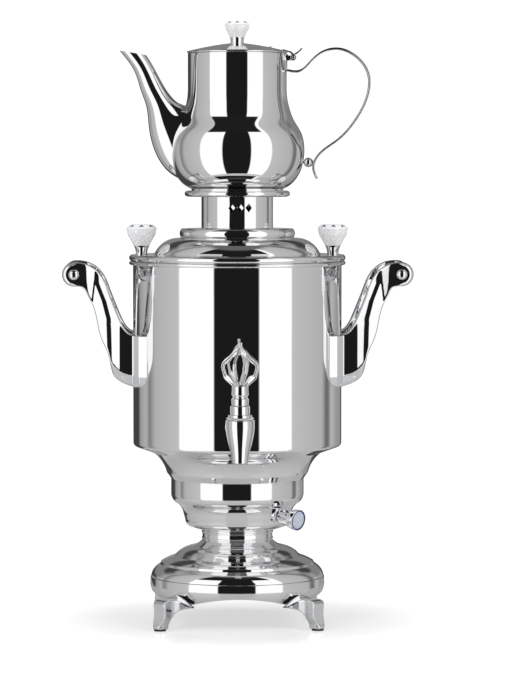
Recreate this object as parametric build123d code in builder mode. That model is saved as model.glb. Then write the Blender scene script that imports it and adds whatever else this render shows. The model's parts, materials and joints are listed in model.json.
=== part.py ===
from build123d import *
from math import asin, atan2, cos, degrees, hypot, radians, sin, sqrt
import os

# Electric table samovar: a footed base, a pedestal cup that holds the thermostat, a five litre
# boiler with a tap and two scroll handles, a lift-off lid, a steam collar and a hinged teapot.
# Millimetres, +Z up. The origin is on the boiler's axis, on the surface that the feet stand on.
# The tap faces -Y, the teapot's spout points to -X and its handle to +X.

os.makedirs("parts", exist_ok=True)

# ---------------------------------------------------------------- stock and running clearances
sheet = 1.0
cast_wall = 2.2
lift_gap = 0.3
turn_gap = 0.05
slip_gap = 0.6

# ---------------------------------------------------------------- base
skirt_clearance = 20.0
skirt_radius = 82.3
skirt_flare = 6.9
skirt_crease_rise = 15.0
skirt_band_rise = 7.7
skirt_flange_width = 9.0
arch_radius = 140.0
arch_rise = 9.5
bell_rise = 33.7
bell_inset = 1.1
bell_step_insets = (9.4, 23.1)
bell_root_flare = 9.5
bell_step_rises = (11.1, 18.8, 27.9)
bell_cove = 2.4
neck_radius = 33.0
neck_rise = 9.8
neck_bead = 0.8
bottom_plate_gap = 0.6
bottom_plate_drop = 5.0
vent_slot_length = 16.0
vent_slot_width = 4.0
vent_slot_circle = 46.0
vent_slot_count = 8
tie_rod_radius = 4.0
tie_nut_width = 13.0
tie_nut_height = 6.5
tie_washer_radius = 12.0
tie_washer_thickness = 1.6

# ---------------------------------------------------------------- feet
foot_overreach = 20.6
foot_width = 14.0
pad_radius = 5.6
pad_thickness = 1.6
knee_overreach = 23.4
knee_height = 25.5
leaf_span = 34.0
leaf_top = 31.5
screw_radius = 1.9
screw_head_radius = 3.2
screw_head_thickness = 2.0
foot_screw_height = 25.0
foot_screw_depth = 8.0

# ---------------------------------------------------------------- cup and boiler
cup_rise = 47.0
cup_radius = 62.5
cup_waist_radius = 50.9
cup_floor_radius = 43.5
flare_rise = 35.5
flare_lip = 1.4
flare_waist_radius = 66.6
boiler_radius = 98.0
wall_rise = 166.8
rim_bead_radius = 1.85
floor_thickness = 1.2

# ---------------------------------------------------------------- heating and control
element_radius = 3.25
element_circle = 42.0
element_rise = 13.8
element_leg_angle = 26.0
element_bend = 8.0
element_tail = 14.0
bush_flange_radius = 7.0
bush_flange_thickness = 2.0
bush_radius = 5.0
bush_tail = 8.0
element_nut_width = 14.0
element_nut_height = 4.0
element_seal_thickness = 1.2
cutout_radius = 8.5
cutout_height = 6.0
cutout_reach = 25.0
knob_azimuth = -43.0
knob_tilt = 7.0
knob_rise_in_cup = 16.6
control_box_size = 24.0
control_box_depth = 18.0
control_box_reach = 40.0
bushing_radius = 4.8
spindle_radius = 3.0
escutcheon_radius = 9.2
escutcheon_thickness = 2.6
knob_gap = 0.4
knob_length = 22.0
knob_base_radius = 6.6
knob_face_radius = 10.0
knob_lens_radius = 8.1
knob_trim_thickness = 2.0
inlet_width = 28.0
inlet_height = 20.5
inlet_depth = 24.0
inlet_proud = 0.8
inlet_flange = 2.0
inlet_recess_width = 24.5
inlet_recess_height = 16.5
inlet_recess_depth = 17.0
inlet_pin_length = 11.0
inlet_pin_spread = 7.0
terminal_width = 30.0
terminal_depth = 16.0
terminal_height = 14.0
terminal_reach = 34.0

# ---------------------------------------------------------------- tap
tap_overreach = 33.0
tap_port_rise = 22.3
tap_body_radius = 13.0
tap_nozzle_radius = 7.4
tap_nozzle_drop = 30.7
tap_shoulder_rise = 8.3
tap_rim_radius = 10.7
tap_rim_rise = 3.4
plug_top_radius = 7.2
plug_tip_radius = 5.8
plug_drop = 12.0
plug_spindle_radius = 4.6
port_radius = 3.4
barrel_radius = 8.0
barrel_bore = 4.5
tail_radius = 7.0
tail_length = 14.0
tap_flange_radius = 13.0
tap_flange_thickness = 3.5
tap_seal_thickness = 2.5
tap_nut_width = 22.0
tap_nut_thickness = 6.0
gland_radius = 8.8
gland_rise = 9.4
key_stem_radius = 7.3
key_stem_rise = 17.2
key_rise = 42.4
key_radius = 18.2
key_rib_thickness = 2.4
key_twist = 75.0

# ---------------------------------------------------------------- side handles
arm_spacing = 36.0
arm_thickness = 13.0
arm_overreach = 54.1
arm_edge_round = 3.0
scroll_radius = 11.2
scroll_below_rim = 7.9
grip_radius = 9.2
grip_swell = 1.4
grip_screw_radius = 2.5
grip_screw_head_radius = 4.5
grip_screw_depth = 12.0
handle_bolt_radius = 2.0
handle_bolt_drops = (75.5, 101.5)
handle_bolt_depth = 9.0
handle_bolt_offset = 34.0
handle_seal_radius = 6.0

# ---------------------------------------------------------------- boiler lid
lid_overhang = 3.7
lid_rim_rise = 5.6
lid_dome_radius = 77.0
lid_dome_rise = 15.6
lid_ring_radius = 54.2
lid_ring_rise = 8.9
lid_mouth_radius = 30.0
lid_spigot_depth = 9.0
lid_knob_inset = 8.2
ferrule_rise = 8.5
ferrule_foot_radius = 5.4
knob_head_rise = 19.7
knob_foot_radius = 7.5
knob_head_radius = 14.3

# ---------------------------------------------------------------- collar and gallery plate
collar_radius = 33.7
collar_rise = 31.3
collar_vent_width = 6.4
collar_vent_height = 8.6
collar_vent_pitch = 13.7
collar_vent_centre = 3.6
collar_vent_rise = 19.3
plate_radius = 49.6
plate_bead_radius = 3.0
plate_hole_radius = 12.0
plate_vent_radius = 3.0
plate_vent_circle = 24.0
plate_vent_count = 8

# ---------------------------------------------------------------- teapot
pot_foot_rise = 4.2
pot_foot_radius = 43.0
pot_bulb_radius = 63.0
pot_bulb_rise = 38.0
pot_neck_radius = 46.3
pot_neck_rise = 92.7
pot_body_rise = 126.5
strainer_hole_radius = 1.6
strainer_pitch = 6.0
strainer_lift = 8.0
strap_thickness = 2.2
strap_width = 14.0
boss_radius = 4.1
boss_rise = 24.8
hinge_overreach = 6.1
hinge_drop = 3.7
hinge_pin_radius = 1.25
knuckle_radius = 2.9
knuckle_half_length = 2.2
hinge_width = 14.0
pot_lid_overhang = 0.9
pot_lid_rise = 9.2
pot_crown_radius = 8.0
pot_knob_foot_radius = 6.8
pot_knob_head_radius = 11.7
pot_knob_rise = 15.0
pot_ferrule_radius = 6.5
pot_ferrule_rise = 5.6

# ---------------------------------------------------------------- heights and radii that follow
skirt_foot_radius = skirt_radius - skirt_flare
skirt_crease = skirt_clearance + skirt_crease_rise
skirt_top = skirt_crease + skirt_band_rise
bell_top = skirt_top + bell_rise
neck_top = bell_top + neck_rise
cup_top = neck_top + cup_rise
flare_top = cup_top + flare_rise
wall_top = flare_top + wall_rise
rim_radius = boiler_radius + lid_overhang
rim_top = wall_top + 2 * rim_bead_radius
lid_bottom = rim_top + lift_gap
lid_top = lid_bottom + lid_rim_rise
dome_top = lid_top + lid_dome_rise
ring_top = dome_top + lid_ring_rise
collar_bottom = ring_top + lift_gap
collar_top = collar_bottom + collar_rise
plate_top = collar_top + sheet
pot_bottom = plate_top + lift_gap
pot_floor = pot_bottom + pot_foot_rise
pot_top = pot_floor + pot_body_rise
pot_lid_bottom = pot_top + lift_gap
pot_lid_top = pot_lid_bottom + pot_lid_rise
tank_radius = boiler_radius - sheet
plate_floor_bottom = skirt_top - sheet - bottom_plate_drop
tap_y = -(boiler_radius + tap_overreach)
tap_port = flare_top + tap_port_rise
scroll_x = boiler_radius + arm_overreach
scroll_z = wall_top - scroll_below_rim
hinge_x = pot_neck_radius + hinge_overreach
hinge_z = pot_top - hinge_drop


# ---------------------------------------------------------------- shared forms
def keep(piece, name):
    """Label a finished piece and write its STEP file."""
    piece.part.label = name
    export_step(piece.part, f"parts/{name}.step")


def upright(angle):
    """Plane through the main axis: local x runs outwards at the angle, local y runs up."""
    turn = radians(angle)
    return Plane((0, 0, 0), x_dir=(cos(turn), sin(turn), 0), z_dir=(sin(turn), -cos(turn), 0))


def facing(angle, height):
    """Plane on the main axis that faces outwards at the angle: local y runs up."""
    turn = radians(angle)
    return Plane((0, 0, height), x_dir=(-sin(turn), cos(turn), 0), z_dir=(cos(turn), sin(turn), 0))


def spot(angle, radius):
    """Point in plan at a polar place about the main axis."""
    return (radius * cos(radians(angle)), radius * sin(radians(angle)))


def knob_outline(foot_radius, head_radius, low, rise):
    """Half outline of a flared knob with a slightly dished crown."""
    high = low + rise
    crown = 0.66 * head_radius
    with BuildLine() as outline:
        Line((0, low), (foot_radius, low))
        Spline(
            (foot_radius, low),
            (0.62 * foot_radius + 0.38 * head_radius, low + 0.25 * rise),
            (0.12 * foot_radius + 0.88 * head_radius, low + 0.55 * rise),
            (head_radius, low + 0.75 * rise),
            (0.93 * head_radius, low + 0.9 * rise),
            (crown, high),
        )
        Polyline((crown, high), (0, high - 0.6), (0, low))
    return outline.line


def ferrule_outline(foot_radius, head_radius, low, rise):
    """Half outline of the flared metal cup that carries a knob."""
    flare = (foot_radius + 0.25 * (head_radius - foot_radius), low + 0.55 * rise)
    with BuildLine() as outline:
        Line((0, low), (foot_radius, low))
        ThreePointArc((foot_radius, low), flare, (head_radius, low + rise))
        Polyline((head_radius, low + rise), (0, low + rise), (0, low))
    return outline.line


def beside(curve, amount, steps):
    """Points at even steps along a curve, a given distance to its left."""
    points = []
    for step in range(steps + 1):
        way = curve % (step / steps)
        points.append(curve @ (step / steps) + Vector(-way.Y, way.X) * amount)
    return points


# ================================================================ base
skirt_belly = (
    0.5 * (skirt_foot_radius + skirt_radius) + 1.3,
    skirt_clearance + 0.5 * skirt_crease_rise,
)
skirt_edge = 0.8

with BuildLine() as skirt_outline:
    ThreePointArc(
        (skirt_foot_radius, skirt_clearance), skirt_belly, (skirt_radius, skirt_crease)
    )
    Line((skirt_radius, skirt_crease), (skirt_radius - 0.3, skirt_top - skirt_edge))
    ThreePointArc(
        (skirt_radius - 0.3, skirt_top - skirt_edge),
        (skirt_radius - 0.55, skirt_top - 0.25),
        (skirt_radius - bell_inset, skirt_top),
    )
    Line(
        (skirt_radius - bell_inset, skirt_top),
        (skirt_radius - bell_inset - skirt_flange_width, skirt_top),
    )

with BuildPart() as base_skirt:
    with BuildSketch(Plane.XZ):
        with BuildLine():
            add(skirt_outline.line)
            offset(amount=sheet, side=Side.LEFT)
        make_face()
    revolve(axis=Axis.Z)
    for arch_plane in (Plane.XZ, Plane.YZ):
        with BuildSketch(arch_plane):
            with Locations((0, skirt_clearance + arch_rise - arch_radius)):
                Circle(arch_radius)
        extrude(amount=skirt_radius + cast_wall, both=True, mode=Mode.SUBTRACT)
    for corner in range(4):
        with BuildSketch(facing(45 + 90 * corner, foot_screw_height)):
            Circle(screw_radius + turn_gap)
        extrude(amount=skirt_radius + cast_wall, mode=Mode.SUBTRACT)
keep(base_skirt, "base_skirt")

# Solid under the skirt's outer line: the feet are cut back to it.
with BuildPart() as skirt_core:
    with BuildSketch(Plane.XZ):
        with BuildLine():
            add(skirt_outline.line)
            Polyline(
                (skirt_radius - bell_inset - skirt_flange_width, skirt_top),
                (0, skirt_top),
                (0, skirt_clearance),
                (skirt_foot_radius, skirt_clearance),
            )
        make_face()
    revolve(axis=Axis.Z)

bell_foot_radius = skirt_radius - bell_inset
first_radius, second_radius = (skirt_radius - inset for inset in bell_step_insets)
third_radius = neck_radius + bell_root_flare
first_step, second_step, third_step = (skirt_top + rise for rise in bell_step_rises)

with BuildPart() as base_bell:
    with BuildSketch(Plane.XZ):
        with BuildLine():
            Line((bell_foot_radius, skirt_top), (bell_foot_radius, skirt_top + 1.5))
            ThreePointArc(
                (bell_foot_radius, skirt_top + 1.5),
                (0.5 * (bell_foot_radius + first_radius) + 1.9, 0.45 * skirt_top + 0.55 * first_step),
                (first_radius, first_step),
            )
            Line((first_radius, first_step), (first_radius - 1.1, first_step + bell_cove))
            ThreePointArc(
                (first_radius - 1.1, first_step + bell_cove),
                (0.5 * (first_radius + second_radius) + 0.9, 0.42 * first_step + 0.58 * second_step + 0.5),
                (second_radius, second_step),
            )
            Line((second_radius, second_step), (second_radius - 3.0, second_step + bell_cove + 0.8))
            ThreePointArc(
                (second_radius - 3.0, second_step + bell_cove + 0.8),
                (0.5 * (second_radius + third_radius) + 0.2, 0.3 * second_step + 0.7 * third_step + 0.3),
                (third_radius, third_step),
            )
            ThreePointArc(
                (third_radius, third_step),
                (0.62 * neck_radius + 0.38 * third_radius, 0.5 * (third_step + bell_top)),
                (neck_radius, bell_top),
            )
            offset(amount=sheet, side=Side.LEFT)
        make_face()
    revolve(axis=Axis.Z)
keep(base_bell, "base_bell")

with BuildPart() as pedestal_neck:
    with BuildSketch(Plane.XZ):
        with BuildLine():
            Line((neck_radius, bell_top), (neck_radius, bell_top + 1.0))
            ThreePointArc(
                (neck_radius, bell_top + 1.0),
                (neck_radius + neck_bead, bell_top + 2.0),
                (neck_radius, bell_top + 3.0),
            )
            Line((neck_radius, bell_top + 3.0), (neck_radius, neck_top - 3.0))
            ThreePointArc(
                (neck_radius, neck_top - 3.0),
                (neck_radius + neck_bead, neck_top - 2.0),
                (neck_radius, neck_top - 1.0),
            )
            Polyline(
                (neck_radius, neck_top - 1.0),
                (neck_radius, neck_top),
                (neck_radius - cast_wall, neck_top),
                (neck_radius - cast_wall, bell_top),
                (neck_radius, bell_top),
            )
        make_face()
    revolve(axis=Axis.Z)
keep(pedestal_neck, "pedestal_neck")

plate_edge_radius = skirt_radius - sheet - bottom_plate_gap
with BuildPart() as bottom_plate:
    with BuildSketch(Plane.XZ):
        with BuildLine():
            Polyline(
                (tie_rod_radius + turn_gap, plate_floor_bottom),
                (plate_edge_radius, plate_floor_bottom),
                (plate_edge_radius, skirt_top - sheet),
                (plate_edge_radius - sheet, skirt_top - sheet),
                (plate_edge_radius - sheet, plate_floor_bottom + sheet),
                (tie_rod_radius + turn_gap, plate_floor_bottom + sheet),
                close=True,
            )
        make_face()
    revolve(axis=Axis.Z)
    with BuildSketch(Plane.XY.offset(plate_floor_bottom)):
        with PolarLocations(vent_slot_circle, vent_slot_count):
            SlotOverall(vent_slot_length, vent_slot_width)
    extrude(amount=sheet, mode=Mode.SUBTRACT)
keep(bottom_plate, "bottom_plate")

washer_bottom = plate_floor_bottom - tie_washer_thickness
nut_bottom = washer_bottom - tie_nut_height
with BuildPart() as tie_washer:
    with BuildSketch(Plane.XY.offset(washer_bottom)):
        Circle(tie_washer_radius)
        Circle(tie_rod_radius + turn_gap, mode=Mode.SUBTRACT)
    extrude(amount=tie_washer_thickness)
keep(tie_washer, "tie_washer")

with BuildPart() as tie_nut:
    with BuildSketch(Plane.XY.offset(nut_bottom)):
        RegularPolygon(tie_nut_width / 2, 6, major_radius=False)
        Circle(tie_rod_radius, mode=Mode.SUBTRACT)
    extrude(amount=tie_nut_height)
keep(tie_nut, "tie_nut")

with BuildPart() as tie_rod:
    with BuildSketch(Plane.XY.offset(nut_bottom - cast_wall)):
        Circle(tie_rod_radius)
    extrude(amount=cup_top - nut_bottom + cast_wall)
    chamfer(tie_rod.edges().sort_by(Axis.Z)[0], 0.8)
keep(tie_rod, "tie_rod")

# ---------------------------------------------------------------- feet
foot_reach = skirt_radius + foot_overreach
knee_reach = skirt_radius + knee_overreach
skirt_inside = skirt_foot_radius - 3.0
half_foot = foot_width / 2


def foot_solid(angle):
    """Cast bracket foot: a leaf on the skirt, a knee outside it and a toe on its pad."""
    with BuildPart() as foot:
        # seen from the side: leaf tip, knee, ankle and toe
        with BuildSketch(upright(angle)):
            with BuildLine():
                Polyline((skirt_inside, leaf_top), (skirt_radius + 0.6, leaf_top))
                Spline(
                    (skirt_radius + 0.6, leaf_top),
                    (skirt_radius + 7.0, knee_height + 2.2),
                    (knee_reach - 3.5, knee_height + 1.9),
                    (knee_reach, knee_height - 2.0),
                )
                Spline(
                    (knee_reach, knee_height - 2.0),
                    (foot_reach + 1.4, 0.5 * knee_height),
                    (foot_reach + pad_radius, pad_thickness + 2.2),
                )
                Polyline(
                    (foot_reach + pad_radius, pad_thickness + 2.2),
                    (foot_reach + pad_radius, pad_thickness),
                    (foot_reach - pad_radius, pad_thickness),
                    (foot_reach - pad_radius, pad_thickness + 2.2),
                )
                Spline(
                    (foot_reach - pad_radius, pad_thickness + 2.2),
                    (foot_reach - pad_radius - 2.6, 0.42 * knee_height),
                    (skirt_radius + 5.0, skirt_clearance - 2.6),
                    (skirt_inside, skirt_clearance - 1.2),
                )
                Line((skirt_inside, skirt_clearance - 1.2), (skirt_inside, leaf_top))
            make_face()
        extrude(amount=leaf_span / 2, both=True)
        # seen along the radius: the pointed leaf with its two wings, then the narrow leg
        with BuildSketch(facing(angle, 0).offset(skirt_inside - 1)):
            with BuildLine():
                Spline(
                    (0, leaf_top),
                    (-0.32 * leaf_span, skirt_clearance + 5.4),
                    (-0.5 * leaf_span, skirt_clearance + 0.4),
                )
                Spline(
                    (-0.5 * leaf_span, skirt_clearance + 0.4),
                    (-half_foot - 2.2, skirt_clearance - 5.0),
                    (-half_foot, 0.42 * knee_height),
                    (-pad_radius, pad_thickness),
                )
                Line((-pad_radius, pad_thickness), (pad_radius, pad_thickness))
                Spline(
                    (pad_radius, pad_thickness),
                    (half_foot, 0.42 * knee_height),
                    (half_foot + 2.2, skirt_clearance - 5.0),
                    (0.5 * leaf_span, skirt_clearance + 0.4),
                )
                Spline(
                    (0.5 * leaf_span, skirt_clearance + 0.4),
                    (0.32 * leaf_span, skirt_clearance + 5.4),
                    (0, leaf_top),
                )
            make_face()
        extrude(amount=knee_reach + 10 - skirt_inside, mode=Mode.INTERSECT)
        # seen from above: wings against the skirt, then a leg of even width with a round knee
        with BuildSketch(Plane.XY.rotated((0, 0, angle))):
            with BuildLine():
                Polyline(
                    (skirt_radius - 1.0, -0.5 * leaf_span),
                    (skirt_inside - 1, -0.5 * leaf_span),
                    (skirt_inside - 1, 0.5 * leaf_span),
                    (skirt_radius - 1.0, 0.5 * leaf_span),
                )
                Spline(
                    (skirt_radius - 1.0, 0.5 * leaf_span),
                    (skirt_radius + 4.0, half_foot + 3.0),
                    (skirt_radius + 12.0, half_foot),
                )
                Line((skirt_radius + 12.0, half_foot), (foot_reach, half_foot))
                ThreePointArc(
                    (foot_reach, half_foot), (foot_reach + pad_radius + 0.4, 0), (foot_reach, -half_foot)
                )
                Line((foot_reach, -half_foot), (skirt_radius + 12.0, -half_foot))
                Spline(
                    (skirt_radius + 12.0, -half_foot),
                    (skirt_radius + 4.0, -half_foot - 3.0),
                    (skirt_radius - 1.0, -0.5 * leaf_span),
                )
            make_face()
        extrude(amount=leaf_top + 1, mode=Mode.INTERSECT)
        add(skirt_core.part, mode=Mode.SUBTRACT)
        with BuildSketch(facing(angle, foot_screw_height).offset(skirt_inside)):
            Circle(screw_radius + turn_gap)
        extrude(amount=skirt_radius + foot_screw_depth - skirt_inside, mode=Mode.SUBTRACT)
    return foot


for corner, name in enumerate(("rear_right", "rear_left", "front_left", "front_right")):
    keep(foot_solid(45 + 90 * corner), f"foot_{name}")

with BuildPart() as foot_pads:
    with BuildSketch():
        with PolarLocations(foot_reach, 4, start_angle=45):
            Circle(pad_radius)
    extrude(amount=pad_thickness)
keep(foot_pads, "foot_pads")

foot_screw_start = skirt_foot_radius - sheet - screw_head_thickness
with BuildPart() as foot_screws:
    for corner in range(4):
        head_plane = facing(45 + 90 * corner, foot_screw_height).offset(foot_screw_start)
        with BuildSketch(head_plane):
            Circle(screw_head_radius)
        extrude(amount=screw_head_thickness)
        with BuildSketch(head_plane.offset(screw_head_thickness)):
            Circle(screw_radius)
        extrude(amount=skirt_radius + foot_screw_depth - foot_screw_start - screw_head_thickness - 1)
keep(foot_screws, "foot_screws")

# ================================================================ cup with the mains side
inlet_centre = neck_top + knob_rise_in_cup
inlet_face = cup_radius + inlet_proud


def inlet_plane(reach):
    """Plane behind the samovar that faces backwards, on the inlet's centre line."""
    return Plane((0, reach, inlet_centre), x_dir=(-1, 0, 0), z_dir=(0, 1, 0))


knob_turn = radians(knob_azimuth)
knob_dip = radians(knob_tilt)
knob_way = Vector(
    cos(knob_turn) * cos(knob_dip), sin(knob_turn) * cos(knob_dip), -sin(knob_dip)
)
knob_centre = Vector(*spot(knob_azimuth, cup_waist_radius), neck_top + knob_rise_in_cup)


def knob_plane(reach):
    """Plane across the knob's axis, a given distance out from the main axis."""
    return Plane(knob_centre + knob_way * (reach - cup_waist_radius), z_dir=knob_way)


with BuildLine() as cup_outline:
    Line((neck_radius - cast_wall, neck_top), (neck_radius + 1.5, neck_top))
    Line((neck_radius + 1.5, neck_top), (cup_floor_radius, neck_top + 2.9))
    ThreePointArc(
        (cup_floor_radius, neck_top + 2.9),
        (cup_waist_radius - 3.1, neck_top + 5.6),
        (cup_waist_radius - 1.6, neck_top + 10.0),
    )
    Line((cup_waist_radius - 1.6, neck_top + 10.0), (cup_waist_radius, neck_top + 15.5))
    ThreePointArc(
        (cup_waist_radius, neck_top + 15.5),
        (cup_waist_radius + 2.3, neck_top + 21.3),
        (cup_radius - 5.2, neck_top + 25.4),
    )
    ThreePointArc(
        (cup_radius - 5.2, neck_top + 25.4),
        (cup_radius - 1.4, neck_top + 29.1),
        (cup_radius, neck_top + 34.0),
    )
    Line((cup_radius, neck_top + 34.0), (cup_radius, cup_top))

with BuildPart() as cup_core:
    with BuildSketch(Plane.XZ):
        with BuildLine():
            add(cup_outline.line)
            Polyline(
                (cup_radius, cup_top), (0, cup_top), (0, neck_top), (neck_radius - cast_wall, neck_top)
            )
        make_face()
    revolve(axis=Axis.Z)

with BuildPart() as pedestal_cup:
    with BuildSketch(Plane.XZ):
        with BuildLine():
            add(cup_outline.line)
            offset(amount=sheet, side=Side.LEFT)
        make_face()
    revolve(axis=Axis.Z)
    with BuildSketch(inlet_plane(inlet_face - inlet_depth)):
        Rectangle(inlet_width + 2 * turn_gap, inlet_height + 2 * turn_gap)
    extrude(amount=inlet_depth + inlet_proud, mode=Mode.SUBTRACT)
    with BuildSketch(knob_plane(control_box_reach)):
        Circle(bushing_radius + turn_gap)
    extrude(amount=cup_radius - control_box_reach, mode=Mode.SUBTRACT)
keep(pedestal_cup, "pedestal_cup")

with BuildPart() as mains_inlet:
    with BuildSketch(inlet_plane(inlet_face - inlet_depth)):
        Rectangle(inlet_width, inlet_height)
    extrude(amount=inlet_depth)
    with BuildSketch(inlet_plane(inlet_face - inlet_flange)):
        RectangleRounded(inlet_width + 2 * inlet_flange, inlet_height + 2 * inlet_flange, inlet_flange)
    extrude(amount=inlet_flange)
    with BuildSketch(inlet_plane(inlet_face - inlet_recess_depth)):
        RectangleRounded(inlet_recess_width, inlet_recess_height, inlet_flange)
    extrude(amount=inlet_recess_depth, mode=Mode.SUBTRACT)
    with BuildSketch(inlet_plane(inlet_face - inlet_depth)):
        with Locations((-inlet_pin_spread, -1.5), (0, 2.5), (inlet_pin_spread, -1.5)):
            Rectangle(2.0, 5.0)
    extrude(amount=inlet_depth - inlet_recess_depth, mode=Mode.SUBTRACT)
keep(mains_inlet, "mains_inlet")

with BuildPart() as inlet_pins:
    with BuildSketch(inlet_plane(inlet_face - inlet_depth - 6.0)):
        with Locations((-inlet_pin_spread, -1.5), (0, 2.5), (inlet_pin_spread, -1.5)):
            Rectangle(2.0, 5.0)
    extrude(amount=inlet_depth - inlet_recess_depth + 6.0 + inlet_pin_length)
keep(inlet_pins, "inlet_pins")

# ================================================================ boiler
with BuildPart() as boiler_flare:
    with BuildSketch(Plane.XZ):
        with BuildLine():
            Line((cup_radius, cup_top), (cup_radius, cup_top + flare_lip))
            Line((cup_radius, cup_top + flare_lip), (flare_waist_radius, cup_top + 7.2))
            ThreePointArc(
                (flare_waist_radius, cup_top + 7.2),
                (flare_waist_radius + 3.9, cup_top + 16.4),
                (flare_waist_radius + 12.6, cup_top + 25.9),
            )
            Line(
                (flare_waist_radius + 12.6, cup_top + 25.9),
                (boiler_radius - 2.7, flare_top - 3.6),
            )
            ThreePointArc(
                (boiler_radius - 2.7, flare_top - 3.6),
                (boiler_radius - 0.7, flare_top - 2.2),
                (boiler_radius, flare_top),
            )
            offset(amount=sheet, side=Side.LEFT)
        make_face()
    revolve(axis=Axis.Z)
keep(boiler_flare, "boiler_flare")

loop_end = spot(90 - element_leg_angle, element_circle)
leg_shift = spot(180 - element_leg_angle, element_bend)
leg_x = loop_end[0] + leg_shift[0]
leg_y = loop_end[1] + leg_shift[1]
floor_top = cup_top + floor_thickness

with BuildPart() as boiler_floor:
    with BuildSketch(Plane.XY.offset(cup_top)):
        Circle(cup_radius - sheet - 2 * turn_gap)
        with Locations((leg_x, leg_y), (-leg_x, leg_y)):
            Circle(bush_radius + turn_gap, mode=Mode.SUBTRACT)
    extrude(amount=floor_thickness)
keep(boiler_floor, "boiler_floor")


def bolt_plane(angle, height, reach):
    """Plane across a radial handle bolt, a given distance out from the main axis."""
    return facing(angle, height).offset(reach)


bolt_turn = degrees(asin(handle_bolt_offset / boiler_radius))
bolt_angles = (bolt_turn, -bolt_turn, 180 - bolt_turn, 180 + bolt_turn)
bolt_heights = [wall_top - drop for drop in handle_bolt_drops]
rim_mid = wall_top + rim_bead_radius
rim_turn = rim_radius - rim_bead_radius

with BuildPart() as boiler_shell:
    with BuildSketch(Plane.XZ):
        with BuildLine():
            Polyline(
                (tank_radius, rim_top - sheet),
                (tank_radius, flare_top),
                (boiler_radius, flare_top),
                (boiler_radius, wall_top),
                (rim_turn, wall_top),
            )
            ThreePointArc((rim_turn, wall_top), (rim_radius, rim_mid), (rim_turn, rim_top))
            Line((rim_turn, rim_top), (boiler_radius, rim_top))
            RadiusArc((boiler_radius, rim_top), (tank_radius, rim_top - sheet), -sheet)
        make_face()
    revolve(axis=Axis.Z)
    with BuildSketch(facing(-90, tap_port)):
        Circle(tail_radius + turn_gap)
    extrude(amount=rim_radius, mode=Mode.SUBTRACT)
    for angle in bolt_angles:
        for height in bolt_heights:
            with BuildSketch(facing(angle, height)):
                Circle(handle_bolt_radius + turn_gap)
            extrude(amount=rim_radius, mode=Mode.SUBTRACT)
keep(boiler_shell, "boiler_shell")

# ---------------------------------------------------------------- heating
element_height = cup_top + element_rise
leg_top = element_height - element_bend
bend_share = 1 - sqrt(0.5)
seal_top = floor_top + element_seal_thickness

with BuildPart() as heating_element:
    with BuildLine() as element_path:
        Line((leg_x, leg_y, cup_top - element_tail), (leg_x, leg_y, leg_top))
        ThreePointArc(
            (leg_x, leg_y, leg_top),
            (
                leg_x - leg_shift[0] * bend_share,
                leg_y - leg_shift[1] * bend_share,
                element_height - element_bend * bend_share,
            ),
            (loop_end[0], loop_end[1], element_height),
        )
        ThreePointArc(
            (loop_end[0], loop_end[1], element_height),
            (0, -element_circle, element_height),
            (-loop_end[0], loop_end[1], element_height),
        )
        ThreePointArc(
            (-loop_end[0], loop_end[1], element_height),
            (
                -leg_x + leg_shift[0] * bend_share,
                leg_y - leg_shift[1] * bend_share,
                element_height - element_bend * bend_share,
            ),
            (-leg_x, leg_y, leg_top),
        )
        Line((-leg_x, leg_y, leg_top), (-leg_x, leg_y, cup_top - element_tail))
    with BuildSketch(Plane.XY.offset(cup_top - element_tail)):
        with Locations((leg_x, leg_y)):
            Circle(element_radius)
    sweep(path=element_path.line)
    with BuildSketch(Plane.XY.offset(cup_top - bush_tail)):
        with Locations((leg_x, leg_y), (-leg_x, leg_y)):
            Circle(bush_radius)
    extrude(amount=seal_top - cup_top + bush_tail)
    with BuildSketch(Plane.XY.offset(seal_top)):
        with Locations((leg_x, leg_y), (-leg_x, leg_y)):
            Circle(bush_flange_radius)
    extrude(amount=bush_flange_thickness)
keep(heating_element, "heating_element")

with BuildPart() as element_seals:
    with BuildSketch(Plane.XY.offset(floor_top)):
        with Locations((leg_x, leg_y), (-leg_x, leg_y)):
            Circle(bush_flange_radius)
            Circle(bush_radius, mode=Mode.SUBTRACT)
    extrude(amount=element_seal_thickness)
keep(element_seals, "element_seals")

with BuildPart() as element_nuts:
    with BuildSketch(Plane.XY.offset(cup_top - element_nut_height)):
        with Locations((leg_x, leg_y), (-leg_x, leg_y)):
            RegularPolygon(element_nut_width / 2, 6, major_radius=False)
            Circle(bush_radius, mode=Mode.SUBTRACT)
    extrude(amount=element_nut_height)
keep(element_nuts, "element_nuts")

with BuildPart() as thermal_cutout:
    with BuildSketch(Plane.XY.offset(cup_top - cutout_height)):
        with Locations((-cutout_reach, 0)):
            Circle(cutout_radius)
    extrude(amount=cutout_height)
    chamfer(thermal_cutout.edges().sort_by(Axis.Z)[0], 1.0)
keep(thermal_cutout, "thermal_cutout")

with BuildPart() as terminal_block:
    with BuildSketch(Plane.XY.offset(cup_top - terminal_height)):
        with Locations((terminal_reach, terminal_depth / 2 + 4.0)):
            Rectangle(terminal_width, terminal_depth)
    extrude(amount=terminal_height)
    with BuildSketch(Plane.XY.offset(cup_top - terminal_height)):
        with Locations((terminal_reach, terminal_depth / 2 + 4.0)):
            with GridLocations(terminal_width / 3, terminal_depth / 2, 3, 2):
                Circle(2.2)
    extrude(amount=terminal_height / 2, mode=Mode.SUBTRACT)
keep(terminal_block, "terminal_block")

# ---------------------------------------------------------------- thermostat and its knob
escutcheon_face = cup_waist_radius + 0.7 + escutcheon_thickness
knob_back = escutcheon_face + knob_gap
knob_front = knob_back + knob_length

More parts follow.
